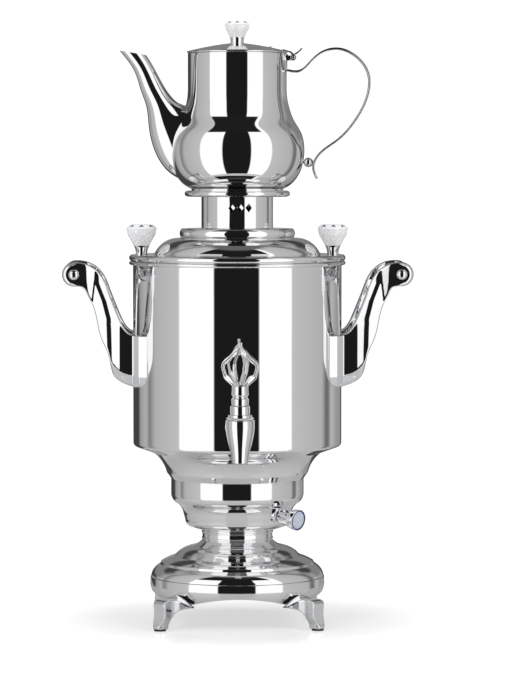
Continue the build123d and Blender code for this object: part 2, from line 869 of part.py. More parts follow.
with BuildPart() as thermostat_body:
    with BuildSketch(knob_plane(control_box_reach - control_box_depth)):
        RectangleRounded(control_box_size, control_box_size, 1.5)
    extrude(amount=control_box_depth)
    with BuildSketch(knob_plane(control_box_reach)):
        Circle(bushing_radius)
    extrude(amount=escutcheon_face - control_box_reach)
    with BuildSketch(knob_plane(control_box_reach - control_box_depth / 2)):
        Circle(spindle_radius + turn_gap)
    extrude(amount=cup_radius, mode=Mode.SUBTRACT)
keep(thermostat_body, "thermostat_body")

with BuildPart() as knob_escutcheon:
    with BuildSketch(knob_plane(cup_waist_radius - escutcheon_thickness)):
        Circle(escutcheon_radius)
        Circle(bushing_radius, mode=Mode.SUBTRACT)
    extrude(amount=escutcheon_face - cup_waist_radius + escutcheon_thickness)
    add(cup_core.part, mode=Mode.SUBTRACT)
keep(knob_escutcheon, "knob_escutcheon")

with BuildPart() as knob_shell:
    with BuildSketch(knob_plane(knob_back)):
        Circle(knob_base_radius)
    with BuildSketch(knob_plane(knob_front)):
        Circle(knob_face_radius)
    loft(ruled=True)
    chamfer(knob_shell.faces().sort_by(SortBy.DISTANCE)[0].edges(), 0.6)
    with BuildSketch(knob_plane(knob_front - knob_trim_thickness)):
        Circle(knob_lens_radius + 1.2)
    extrude(amount=knob_length, mode=Mode.SUBTRACT)
    with BuildSketch(knob_plane(knob_back)):
        Circle(spindle_radius)
    extrude(amount=0.6 * knob_length, mode=Mode.SUBTRACT)
keep(knob_shell, "knob_shell")

with BuildPart() as knob_ring:
    with BuildSketch(knob_plane(knob_front - knob_trim_thickness)):
        Circle(knob_lens_radius + 1.2)
        Circle(knob_lens_radius, mode=Mode.SUBTRACT)
    extrude(amount=knob_trim_thickness)
keep(knob_ring, "knob_ring")

with BuildPart() as knob_lens:
    with BuildSketch(knob_plane(knob_front - knob_trim_thickness)):
        Circle(knob_lens_radius)
    extrude(amount=knob_trim_thickness + 0.6, taper=8)
keep(knob_lens, "knob_lens")

with BuildPart() as knob_spindle:
    with BuildSketch(knob_plane(control_box_reach - control_box_depth / 2 + 0.5)):
        Circle(spindle_radius)
    extrude(amount=knob_back + 0.6 * knob_length - control_box_reach + control_box_depth / 2 - 0.5)
keep(knob_spindle, "knob_spindle")

# ================================================================ tap
tap_axis = Axis((0, tap_y, 0), (0, 0, 1))
tap_side = Plane((0, tap_y, 0), x_dir=(1, 0, 0), z_dir=(0, -1, 0))
nozzle_mouth = tap_port - tap_nozzle_drop
tap_shoulder = tap_port + tap_shoulder_rise
tap_rim = tap_shoulder + tap_rim_rise
plug_tip = tap_port - plug_drop
plug_head = tap_rim - lift_gap
gland_top = tap_rim + gland_rise
stem_bottom = gland_top + lift_gap
stem_top = stem_bottom + key_stem_rise
flange_inner = boiler_radius + tap_seal_thickness


def tap_line(reach):
    """Plane across the tap's barrel that faces forwards, at the outlet's height."""
    return facing(-90, tap_port).offset(reach)


with BuildPart() as tap_body:
    with BuildSketch(tap_side):
        with BuildLine():
            Line((0, nozzle_mouth), (tap_nozzle_radius, nozzle_mouth))
            Spline(
                (tap_nozzle_radius, nozzle_mouth),
                (tap_nozzle_radius + 1.1, nozzle_mouth + 8.7),
                (tap_body_radius - 3.0, tap_port - 15.3),
                (tap_body_radius - 0.9, tap_port - 6.0),
                (tap_body_radius, tap_port + 0.7),
                tangents=((0.02, 1), (0, 1)),
            )
            Polyline(
                (tap_body_radius, tap_port + 0.7),
                (tap_body_radius, tap_shoulder - 0.5),
                (tap_body_radius - 0.6, tap_shoulder),
                (tap_rim_radius, tap_shoulder + 0.4),
                (tap_rim_radius, tap_rim),
                (0, tap_rim),
                (0, nozzle_mouth),
            )
        make_face()
    revolve(axis=tap_axis)
    with BuildSketch(tap_line(flange_inner)):
        Circle(barrel_radius)
    extrude(amount=tap_overreach - tap_seal_thickness)
    with BuildSketch(tap_line(flange_inner)):
        Circle(tap_flange_radius)
    extrude(amount=tap_flange_thickness, taper=6)
    with BuildSketch(tap_line(flange_inner - tail_length)):
        Circle(tail_radius)
    extrude(amount=tail_length)
    with BuildSketch(tap_side):
        with BuildLine():
            Polyline(
                (0, nozzle_mouth),
                (tap_nozzle_radius - 1.0, nozzle_mouth),
                (plug_tip_radius - 0.8, nozzle_mouth + 5.0),
                (plug_tip_radius - 0.8, plug_tip - lift_gap),
                (plug_tip_radius + turn_gap, plug_tip - lift_gap),
                (plug_tip_radius + turn_gap, plug_tip),
                (plug_top_radius + turn_gap, plug_head),
                (plug_top_radius + turn_gap, tap_rim),
                (0, tap_rim),
                close=True,
            )
        make_face()
    revolve(axis=tap_axis, mode=Mode.SUBTRACT)
    with BuildSketch(tap_line(flange_inner - tail_length)):
        Circle(barrel_bore)
    extrude(amount=tail_length + tap_overreach - tap_seal_thickness, mode=Mode.SUBTRACT)
keep(tap_body, "tap_body")

with BuildPart() as tap_gland:
    with BuildSketch(Plane((0, tap_y, tap_rim))):
        Circle(gland_radius)
        Circle(plug_spindle_radius + turn_gap, mode=Mode.SUBTRACT)
    extrude(amount=gland_rise)
    chamfer(tap_gland.edges().filter_by(GeomType.CIRCLE).sort_by(SortBy.RADIUS)[-2:], 0.7)
keep(tap_gland, "tap_gland")

with BuildPart() as tap_plug:
    with BuildSketch(Plane((0, tap_y, plug_tip))):
        Circle(plug_tip_radius)
    with BuildSketch(Plane((0, tap_y, plug_head))):
        Circle(plug_top_radius)
    loft(ruled=True)
    with BuildSketch(Plane((0, tap_y, plug_head))):
        Circle(plug_spindle_radius)
    extrude(amount=stem_bottom - plug_head + 0.6 * key_stem_rise)
    with BuildSketch(Plane((0, tap_y, plug_tip))):
        Circle(port_radius + 0.2)
    extrude(amount=plug_drop + port_radius, mode=Mode.SUBTRACT)
    with BuildSketch(Plane((0, tap_y, tap_port), x_dir=(0, 1, 0), z_dir=(1, 0, 0))):
        Circle(port_radius)
    extrude(amount=tap_body_radius, mode=Mode.SUBTRACT)
keep(tap_plug, "tap_plug")

with BuildPart() as inner_seal:
    with BuildSketch(tap_line(tank_radius - tap_seal_thickness)):
        Circle(tap_nut_width / 2)
        Circle(tail_radius, mode=Mode.SUBTRACT)
    extrude(amount=tap_seal_thickness)
    with BuildSketch(Plane.XY.offset(tap_port - tap_nut_width)):
        Circle(tank_radius)
    extrude(amount=2 * tap_nut_width, mode=Mode.INTERSECT)

with BuildPart() as tap_seals:
    with BuildSketch(tap_line(flange_inner)):
        Circle(tap_flange_radius - 0.8)
        Circle(tail_radius, mode=Mode.SUBTRACT)
    extrude(amount=-tap_seal_thickness - sheet)
    with BuildSketch(Plane.XY.offset(tap_port - tap_flange_radius)):
        Circle(boiler_radius)
    extrude(amount=2 * tap_flange_radius, mode=Mode.SUBTRACT)
    add(inner_seal.part)
keep(tap_seals, "tap_seals")

nut_seat = tank_radius - tap_seal_thickness - tap_nut_thickness
with BuildPart() as tap_nut:
    with BuildSketch(tap_line(nut_seat)):
        RegularPolygon(tap_nut_width / 2, 6, major_radius=False)
        Circle(tail_radius, mode=Mode.SUBTRACT)
    extrude(amount=tap_nut_thickness)
keep(tap_nut, "tap_nut")

# ---------------------------------------------------------------- openwork tap key
key_top = stem_top + key_rise
key_collar = 1.5


def slit(start, end, width):
    """Narrow round-ended slot from one point to another in the current sketch."""
    run = end[0] - start[0]
    climb = end[1] - start[1]
    middle = ((start[0] + end[0]) / 2, (start[1] + end[1]) / 2)
    with Locations(middle):
        SlotOverall(
            hypot(run, climb) + width,
            width,
            rotation=degrees(atan2(climb, run)),
            mode=Mode.SUBTRACT,
        )


def key_rib(angle):
    """One leaf of the key's cage: scrolled outside, open inside, with a petal at the crown."""
    turn = radians(angle)
    plane = Plane(
        (0, tap_y, stem_top), x_dir=(cos(turn), sin(turn), 0), z_dir=(sin(turn), -cos(turn), 0)
    )
    with BuildPart() as rib:
        with BuildSketch(plane):
            with BuildLine():
                Line((3.0, 0), (key_stem_radius, 0))
                Spline((key_stem_radius, 0), (10.8, 3.0), (15.6, 6.7))
                Spline(
                    (15.6, 6.7),
                    (15.8, 9.2),
                    (17.3, 14.0),
                    (key_radius, 18.0),
                    (16.5, 22.1),
                    (12.7, 26.1),
                    (8.6, 28.7),
                )
                Spline((8.6, 28.7), (7.3, 31.0), (6.3, 34.2))
                Spline((6.3, 34.2), (4.4, 32.2), (1.2, 30.8))
                Polyline((1.2, 30.8), (1.2, 28.2), (3.2, 26.6))
                Spline((3.2, 26.6), (7.0, 25.6), (8.2, 22.8), (10.8, 20.6), (13.9, 19.2))
                Spline((13.9, 19.2), (13.5, 16.9), (12.4, 10.7))
                Spline((12.4, 10.7), (8.6, 10.3), (6.3, 6.7), (4.0, 2.3))
                Line((4.0, 2.3), (3.0, 0))
            make_face()
            slit((11.5, 23.3), (14.5, 20.9), 1.1)
            slit((12.4, 8.6), (8.2, 3.4), 1.1)
        extrude(amount=key_rib_thickness / 2, both=True)
    return rib.part


with BuildPart() as tap_key:
    with BuildSketch(tap_side):
        with BuildLine():
            Polyline(
                (plug_spindle_radius, stem_bottom),
                (key_stem_radius, stem_bottom),
                (key_stem_radius, stem_bottom + 7.2),
                (key_stem_radius - 0.9, stem_bottom + 7.7),
                (key_stem_radius, stem_bottom + 8.2),
                (key_stem_radius, stem_top + key_collar - 0.6),
                (key_stem_radius - 0.6, stem_top + key_collar),
                (0, stem_top + key_collar),
                (0, stem_bottom + 0.6 * key_stem_rise),
                (plug_spindle_radius, stem_bottom + 0.6 * key_stem_rise),
                close=True,
            )
        make_face()
    revolve(axis=tap_axis)
    with BuildSketch(tap_side):
        with BuildLine():
            Line((0, stem_top + 27.5), (2.8, stem_top + 28.2))
            Spline(
                (2.8, stem_top + 28.2),
                (3.2, stem_top + 31.0),
                (1.9, stem_top + 33.0),
                (2.5, stem_top + 35.0),
                (1.7, key_top - 0.6),
            )
            Polyline((1.7, key_top - 0.6), (0, key_top), (0, stem_top + 27.5))
        make_face()
    revolve(axis=tap_axis)
    for quarter in range(4):
        add(key_rib(key_twist + 90 * quarter))
keep(tap_key, "tap_key")

# ================================================================ side handles
half_arm = arm_thickness / 2
scroll_top = scroll_z + scroll_radius
scroll_base = scroll_z - scroll_radius


def arm_point(reach, drop):
    """Point on an arm's outline: how far outside the boiler and how far below the scroll top."""
    return (boiler_radius + reach, scroll_top - drop)


def arm_solid(side, row):
    """Cast S-shaped arm with a round scroll, cut back to the boiler's wall."""
    with BuildPart() as arm:
        with BuildSketch(Plane.XZ.offset(-row)):
            with BuildLine():
                Polyline(
                    arm_point(-1.6, 116.1),
                    arm_point(-14, 116.1),
                    arm_point(-14, 67.8),
                    arm_point(-1.6, 67.8),
                )
                Spline(
                    arm_point(-1.6, 67.8),
                    arm_point(4.0, 65.0),
                    arm_point(10.5, 55.7),
                    arm_point(16.0, 42.7),
                    arm_point(22.0, 27.2),
                    arm_point(27.0, 15.0),
                    arm_point(37.0, 4.4),
                    arm_point(45.5, 0.9),
                    (scroll_x, scroll_top),
                )
                ThreePointArc(
                    (scroll_x, scroll_top), (scroll_x + scroll_radius, scroll_z), (scroll_x, scroll_base)
                )
                Spline(
                    (scroll_x, scroll_base),
                    arm_point(46.4, 23.4),
                    arm_point(42.0, 29.7),
                    arm_point(36.5, 40.9),
                    arm_point(32.8, 55.7),
                    arm_point(29.0, 70.6),
                    arm_point(22.5, 85.5),
                    arm_point(19.8, 98.5),
                    arm_point(17.0, 105.9),
                    arm_point(13.0, 109.9),
                    arm_point(6.8, 113.3),
                    arm_point(-1.6, 116.1),
                )
            make_face()
        extrude(amount=half_arm, both=True)
        sides = arm.faces().filter_by(Axis.Y).sort_by(Axis.Y)
        rims = sides[0].edges() + sides[-1].edges()
        fillet([edge for edge in rims if edge.geom_type != GeomType.LINE], arm_edge_round)
        with BuildSketch(Plane.XY.offset(flare_top)):
            Circle(boiler_radius)
        extrude(amount=wall_rise, mode=Mode.SUBTRACT)
        angle = bolt_turn if row > 0 else -bolt_turn
        for height in bolt_heights:
            with BuildSketch(bolt_plane(angle, height, tank_radius)):
                Circle(handle_bolt_radius)
            extrude(amount=sheet + handle_bolt_depth, mode=Mode.SUBTRACT)
        with BuildSketch(Plane.XZ.offset(-row - half_arm)):
            with Locations((scroll_x, scroll_z)):
                Circle(grip_screw_radius)
        extrude(amount=arm_thickness, mode=Mode.SUBTRACT)
        if side < 0:
            mirror(about=Plane.YZ, mode=Mode.REPLACE)
    return arm


for side, side_name in ((-1, "left"), (1, "right")):
    for row, row_name in ((-arm_spacing, "front"), (arm_spacing, "rear")):
        keep(arm_solid(side, row), f"handle_arm_{side_name}_{row_name}")

grip_length = 2 * arm_spacing - arm_thickness
with BuildPart() as handle_grips:
    with BuildSketch(Plane((scroll_x, 0, scroll_z), x_dir=(0, 1, 0), z_dir=(1, 0, 0))):
        with BuildLine():
            Polyline(
                (grip_length / 2, 0), (grip_length / 2, grip_radius - grip_swell)
            )
            ThreePointArc(
                (grip_length / 2, grip_radius - grip_swell),
                (0, grip_radius),
                (-grip_length / 2, grip_radius - grip_swell),
            )
            Polyline(
                (-grip_length / 2, grip_radius - grip_swell), (-grip_length / 2, 0), (grip_length / 2, 0)
            )
        make_face()
    revolve(axis=Axis((scroll_x, 0, scroll_z), (0, 1, 0)))
    for end in (-1, 1):
        with BuildSketch(Plane.XZ.offset(-end * grip_length / 2)):
            with Locations((scroll_x, scroll_z)):
                Circle(grip_screw_radius)
        extrude(amount=end * grip_screw_depth, mode=Mode.SUBTRACT)
    mirror(about=Plane.YZ)
keep(handle_grips, "handle_grips")

with BuildPart() as grip_screws:
    for end in (-1, 1):
        face_plane = Plane.XZ.offset(-end * (arm_spacing + half_arm))
        with BuildSketch(face_plane):
            with Locations((scroll_x, scroll_z)):
                Circle(grip_screw_radius)
        extrude(amount=end * (arm_thickness + grip_screw_depth - 1))
        with BuildSketch(face_plane):
            with Locations((scroll_x, scroll_z)):
                Circle(grip_screw_head_radius)
        extrude(amount=-end * 2.4, taper=28)
    mirror(about=Plane.YZ)
keep(grip_screws, "grip_screws")

washer_seat = sqrt(tank_radius**2 - handle_seal_radius**2)
with BuildPart() as handle_washers:
    for angle in bolt_angles:
        for height in bolt_heights:
            with BuildSketch(bolt_plane(angle, height, washer_seat - cast_wall)):
                Circle(handle_seal_radius)
                Circle(handle_bolt_radius, mode=Mode.SUBTRACT)
            extrude(amount=cast_wall)
keep(handle_washers, "handle_washers")

with BuildPart() as handle_bolts:
    for angle in bolt_angles:
        for height in bolt_heights:
            with BuildSketch(bolt_plane(angle, height, washer_seat - cast_wall)):
                Circle(2 * handle_bolt_radius)
            extrude(amount=-1.4 * handle_bolt_radius)
            with BuildSketch(bolt_plane(angle, height, washer_seat - cast_wall)):
                Circle(handle_bolt_radius)
            extrude(amount=cast_wall + sheet + handle_bolt_depth - 1)
keep(handle_bolts, "handle_bolts")

# ================================================================ boiler lid
lid_under = lid_top - sheet
lid_spigot_radius = tank_radius - slip_gap
knob_x = boiler_radius - lid_knob_inset
knob_bottom = lid_top + ferrule_rise

with BuildPart() as boiler_lid:
    with BuildSketch(Plane.XZ):
        with BuildLine():
            Line((rim_radius - 1.2, lid_bottom), (rim_radius - 0.2, lid_bottom + 1.6))
            ThreePointArc(
                (rim_radius - 0.2, lid_bottom + 1.6),
                (rim_radius - 0.2, lid_bottom + 3.6),
                (rim_radius - 1.8, lid_top),
            )
            Line((rim_radius - 1.8, lid_top), (lid_dome_radius + 1.2, lid_top))
            Line((lid_dome_radius + 1.2, lid_top), (lid_dome_radius, lid_top + 2.6))
            ThreePointArc(
                (lid_dome_radius, lid_top + 2.6),
                (lid_dome_radius - 6.0, lid_top + 10.1),
                (lid_ring_radius + 3.3, dome_top),
            )
            Line((lid_ring_radius + 3.3, dome_top), (lid_ring_radius - 1.6, dome_top))
            ThreePointArc(
                (lid_ring_radius - 1.6, dome_top),
                (lid_ring_radius, dome_top + 0.5 * lid_ring_rise),
                (lid_ring_radius - 2.0, ring_top),
            )
            Line((lid_ring_radius - 2.0, ring_top), (lid_mouth_radius, ring_top))
            offset(amount=sheet, side=Side.LEFT)
        make_face()
    revolve(axis=Axis.Z)
    with BuildSketch(Plane.XY.offset(lid_bottom - lid_spigot_depth)):
        Circle(lid_spigot_radius)
        Circle(lid_spigot_radius - sheet, mode=Mode.SUBTRACT)
    extrude(amount=lid_under + 0.5 - lid_bottom + lid_spigot_depth)
    with BuildSketch(Plane.XY.offset(lid_under)):
        with Locations((knob_x, 0), (-knob_x, 0)):
            Circle(screw_radius)
    extrude(amount=sheet, mode=Mode.SUBTRACT)
keep(boiler_lid, "boiler_lid")

with BuildPart() as lid_ferrules:
    with BuildSketch(Plane.XZ):
        with BuildLine():
            add(ferrule_outline(ferrule_foot_radius, knob_foot_radius, lid_top, ferrule_rise))
        make_face()
    revolve(axis=Axis.Z)
    with BuildSketch(Plane.XY.offset(lid_top)):
        Circle(screw_radius)
    extrude(amount=ferrule_rise, mode=Mode.SUBTRACT)

with BuildPart() as placed_ferrules:
    with Locations((knob_x, 0, 0), (-knob_x, 0, 0)):
        add(lid_ferrules.part)
keep(placed_ferrules, "lid_ferrules")

with BuildPart() as lid_knob:
    with BuildSketch(Plane.XZ):
        with BuildLine():
            add(knob_outline(knob_foot_radius, knob_head_radius, knob_bottom, knob_head_rise))
        make_face()
    revolve(axis=Axis.Z)
    with BuildSketch(Plane.XY.offset(knob_bottom)):
        Circle(screw_radius)
    extrude(amount=ferrule_rise, mode=Mode.SUBTRACT)

for side_x, name in ((-knob_x, "lid_knob_left"), (knob_x, "lid_knob_right")):
    with BuildPart() as placed_knob:
        add(lid_knob.part.moved(Location((side_x, 0, 0))))
    keep(placed_knob, name)

with BuildPart() as lid_knob_screws:
    with BuildSketch(Plane.XY.offset(lid_under - screw_head_thickness)):
        with Locations((knob_x, 0), (-knob_x, 0)):
            Circle(screw_head_radius)
    extrude(amount=screw_head_thickness)
    with BuildSketch(Plane.XY.offset(lid_under)):
        with Locations((knob_x, 0), (-knob_x, 0)):
            Circle(screw_radius)
    extrude(amount=sheet + 2 * ferrule_rise - 1)
keep(lid_knob_screws, "lid_knob_screws")

# ================================================================ steam collar and its plate
collar_spigot_radius = lid_mouth_radius - slip_gap

with BuildPart() as stand_collar:
    with BuildSketch(Plane.XZ):
        with BuildLine():
            Polyline(
                (collar_spigot_radius, ring_top - lid_spigot_depth),
                (collar_spigot_radius, collar_bottom),
                (collar_radius, collar_bottom),
                (collar_radius, collar_top),
            )
            offset(amount=sheet, side=Side.LEFT)
        make_face()
    revolve(axis=Axis.Z)
    for facing_side in (-90, 90):
        for step in (-1, 0, 1):
            turn = facing_side + collar_vent_centre + step * collar_vent_pitch
            with BuildSketch(facing(turn, collar_bottom + collar_vent_rise)):
                with BuildLine():
                    Polyline(
                        (-collar_vent_width / 2, 0),
                        (0, collar_vent_height / 2),
                        (collar_vent_width / 2, 0),
                        (0, -collar_vent_height / 2),
                        close=True,
                    )
                make_face()
            extrude(amount=collar_radius + sheet, mode=Mode.SUBTRACT)
keep(stand_collar, "stand_collar")

plate_bead_turn = plate_radius - plate_bead_radius
with BuildPart() as stand_plate:
    with BuildSketch(Plane.XZ):
        with BuildLine():
            Polyline(
                (plate_hole_radius, collar_top),
                (plate_bead_turn, collar_top),
                (plate_bead_turn, plate_top),
                (plate_hole_radius, plate_top),
                close=True,
            )
        make_face()
        with Locations((plate_bead_turn, collar_top - 1.2 + plate_bead_radius)):
            Circle(plate_bead_radius)
    revolve(axis=Axis.Z)
    with BuildSketch(Plane.XY.offset(collar_top)):
        with PolarLocations(plate_vent_circle, plate_vent_count):
            Circle(plate_vent_radius)
    extrude(amount=sheet, mode=Mode.SUBTRACT)
keep(stand_plate, "stand_plate")

# ================================================================ teapot
bulb_widest = pot_floor + pot_bulb_rise
neck_low = pot_floor + pot_neck_rise

pot_foot_turn = (pot_foot_radius + 0.5, pot_floor)

with BuildLine() as pot_side:
    Spline(
        pot_foot_turn,
        (pot_foot_radius + 5.4, pot_floor + 2.6),
        (pot_bulb_radius - 9.8, pot_floor + 6.8),
        (pot_bulb_radius - 4.0, bulb_widest - 22.2),
        (pot_bulb_radius - 0.9, bulb_widest - 12.0),
        (pot_bulb_radius, bulb_widest),
        (pot_bulb_radius - 3.3, bulb_widest + 15.2),
        (0.5 * (pot_bulb_radius + pot_neck_radius) - 1.55, bulb_widest + 26.5),
        (pot_neck_radius + 2.6, neck_low - 16.9),
        (pot_neck_radius + 0.6, neck_low - 7.7),
        (pot_neck_radius, neck_low),
    )
pot_inside = beside(pot_side.edges()[0], sheet, 12)

with BuildPart() as pot_core:
    with BuildSketch(Plane.XZ):
        with BuildLine():
            Line((0, pot_floor), pot_foot_turn)
            add(pot_side.line)
            Polyline(
                (pot_neck_radius, neck_low), (pot_neck_radius, pot_top), (0, pot_top), (0, pot_floor)
            )
        make_face()
    revolve(axis=Axis.Z)

with BuildPart() as teapot_body:
    with BuildSketch(Plane.XZ):
        with BuildLine():
            Line((0, pot_floor), pot_foot_turn)
            add(pot_side.line)
            Polyline(
                (pot_neck_radius, neck_low),
                (pot_neck_radius, pot_top),
                (pot_neck_radius - sheet, pot_top),
                pot_inside[-1],
            )
            Spline(*reversed(pot_inside))
            Polyline(
                pot_inside[0],
                (pot_foot_turn[0] - 0.8, pot_floor + sheet),
                (0, pot_floor + sheet),
                (0, pot_floor),
            )
        make_face()
    revolve(axis=Axis.Z)
    with BuildSketch(Plane.XY.offset(pot_bottom)):
        Circle(pot_foot_radius)
        Circle(pot_foot_radius - sheet, mode=Mode.SUBTRACT)
    extrude(amount=pot_foot_rise + 0.4)
    with BuildSketch(facing(180, bulb_widest + strainer_lift).offset(pot_neck_radius)):
        with HexLocations(strainer_pitch / 2, 3, 3, major_radius=False):
            Circle(strainer_hole_radius)
    extrude(amount=pot_bulb_radius - pot_neck_radius + sheet, mode=Mode.SUBTRACT)
keep(teapot_body, "teapot_body")

# how far the centre lies outside the bulb and over the floor, half length in the side view,
# half width, and the way the spout runs
spout_sections = (
    ((-18.0, 41.3), 36.0, 19.0, (-1.0, 0.0)),
    ((-5.6, 47.1), 32.2, 18.0, (-0.977, 0.213)),
    ((2.0, 57.0), 25.6, 16.5, (-0.884, 0.468)),
    ((9.0, 78.5), 13.6, 13.2, (-0.42, 0.91)),
    ((16.3, 93.4), 10.9, 10.6, (-0.33, 0.94)),
    ((26.0, 114.8), 8.9, 8.6, (-0.58, 0.815)),
    ((40.0, 134.0), 8.6, 8.4, (-0.6, 0.8)),
)
mouth_outer = (-pot_bulb_radius - 46.5, pot_floor + 129.0)
mouth_inner = (-pot_bulb_radius - 24.7, pot_floor + 125.3)
mouth_run = mouth_inner[0] - mouth_outer[0]
mouth_fall = mouth_outer[1] - mouth_inner[1]


def spout_loft(thinner, longer):
    """Spout's skin, drawn in by one amount and run past its root by another."""
    with BuildPart() as skin:
        for centre, half_length, half_width, way in spout_sections:
            root = longer if way[1] == 0 else 0
            wide = half_width - thinner
            tall = half_length - thinner
            section_plane = Plane(
                (root - pot_bulb_radius - centre[0], 0, pot_floor + centre[1]),
                x_dir=(0, 1, 0),
                z_dir=(way[0], 0, way[1]),
            )
            with BuildSketch(section_plane):
                with BuildLine():
                    Spline(
                        (0, tall),
                        (wide * sqrt(0.5), tall * sqrt(0.5)),
                        (wide, 0),
                        (wide * sqrt(0.5), -tall * sqrt(0.5)),
                        (0, -tall),
                        (-wide * sqrt(0.5), -tall * sqrt(0.5)),
                        (-wide, 0),
                        (-wide * sqrt(0.5), tall * sqrt(0.5)),
                        periodic=True,
                    )
                make_face()
        loft(ruled=True)
    return skin.part


with BuildPart() as teapot_spout:
    add(spout_loft(0, 0))
    add(pot_core.part, mode=Mode.SUBTRACT)
    with BuildSketch(Plane.XZ):
        with BuildLine():
            Polyline(
                (mouth_outer[0] - mouth_run, mouth_outer[1] + mouth_fall),
                (mouth_inner[0] + mouth_run, mouth_inner[1] - mouth_fall),
                (mouth_inner[0] + mouth_run, mouth_outer[1] + 2 * mouth_run),
                (mouth_outer[0] - mouth_run, mouth_outer[1] + 2 * mouth_run),
                close=True,
            )
        make_face()
    extrude(amount=pot_bulb_radius, both=True, mode=Mode.SUBTRACT)
    add(spout_loft(sheet, 2 * sheet), mode=Mode.SUBTRACT)
keep(teapot_spout, "teapot_spout")

strap_foot_x = pot_bulb_radius + 8.4
with BuildLine() as strap_path:
    Spline(
        (pot_neck_radius - 0.8, pot_top - 15.2),
        (pot_neck_radius + 12.2, pot_top - 16.1),
        (pot_neck_radius + 21.9, pot_top - 7.9),
        (pot_neck_radius + 33.7, pot_top + 1.7),
        (pot_neck_radius + 47.1, pot_top + 4.6),
        (pot_neck_radius + 65.0, pot_top - 2.5),
        (pot_neck_radius + 76.7, pot_top - 19.1),
        (pot_neck_radius + 75.9, pot_top - 39.0),
        (strap_foot_x + 39.9, pot_floor + 65.1),
        (strap_foot_x + 22.0, pot_floor + 45.2),
        (strap_foot_x + 5.7, pot_floor + 32.6),
        (strap_foot_x, pot_floor + 21.0),
        (strap_foot_x + 3.4, pot_floor + 9.6),
    )
strap_inside = beside(strap_path.edges()[0], -strap_thickness / 2, 28)
strap_outside = beside(strap_path.edges()[0], strap_thickness / 2, 28)

with BuildPart() as teapot_strap:
    with BuildSketch(Plane.XZ):
        with BuildLine():
            Spline(*strap_outside)
            Line(strap_outside[-1], strap_inside[-1])
            Spline(*reversed(strap_inside))
            Line(strap_inside[0], strap_outside[0])
        make_face()
    extrude(amount=strap_width / 2, both=True)
    with BuildSketch(facing(0, pot_floor + boss_rise).offset(pot_neck_radius)):
        Circle(boss_radius)
    extrude(amount=strap_foot_x - pot_neck_radius)
    add(pot_core.part, mode=Mode.SUBTRACT)
keep(teapot_strap, "teapot_strap")

# ---------------------------------------------------------------- teapot hinge
bracket_reach = pot_neck_radius + 2.0
with BuildPart() as hinge_bracket:
    with BuildSketch(Plane.XZ):
        with BuildLine():
            Polyline(
                (pot_neck_radius - 1.5, hinge_z - 10.5),
                (bracket_reach, hinge_z - 10.5),
                (bracket_reach, pot_top - 0.5),
                (pot_neck_radius - 1.5, pot_top - 0.5),
                close=True,
            )
        make_face()
    extrude(amount=hinge_width / 2, both=True)
    with BuildSketch(Plane.XZ):
        with BuildLine():
            Polyline(
                (pot_neck_radius, hinge_z - 7.0),
                (hinge_x, hinge_z - knuckle_radius),
                (hinge_x, hinge_z + knuckle_radius),
                (pot_neck_radius, hinge_z + knuckle_radius - 1.5),
                close=True,
            )
        make_face()
        with Locations((hinge_x, hinge_z)):
            Circle(knuckle_radius)
    extrude(amount=hinge_width / 2, both=True)
    with BuildSketch(Plane.XZ):
        with Locations(((bracket_reach + 10), hinge_z - 5)):
            Rectangle(20, 30)
    extrude(amount=knuckle_half_length + lift_gap, both=True, mode=Mode.SUBTRACT)
    with BuildSketch(Plane.XZ):
        with Locations((hinge_x, hinge_z)):
            Circle(hinge_pin_radius)
    extrude(amount=hinge_width, both=True, mode=Mode.SUBTRACT)
    with BuildSketch(Plane.XY.offset(neck_low)):
        Circle(pot_neck_radius)
    extrude(amount=2 * pot_neck_radius, mode=Mode.SUBTRACT)
keep(hinge_bracket, "hinge_bracket")

with BuildPart() as hinge_pin:
    with BuildSketch(Plane.XZ):
        with Locations((hinge_x, hinge_z)):
            Circle(hinge_pin_radius)
    extrude(amount=hinge_width / 2 + 0.5, both=True)
keep(hinge_pin, "hinge_pin")

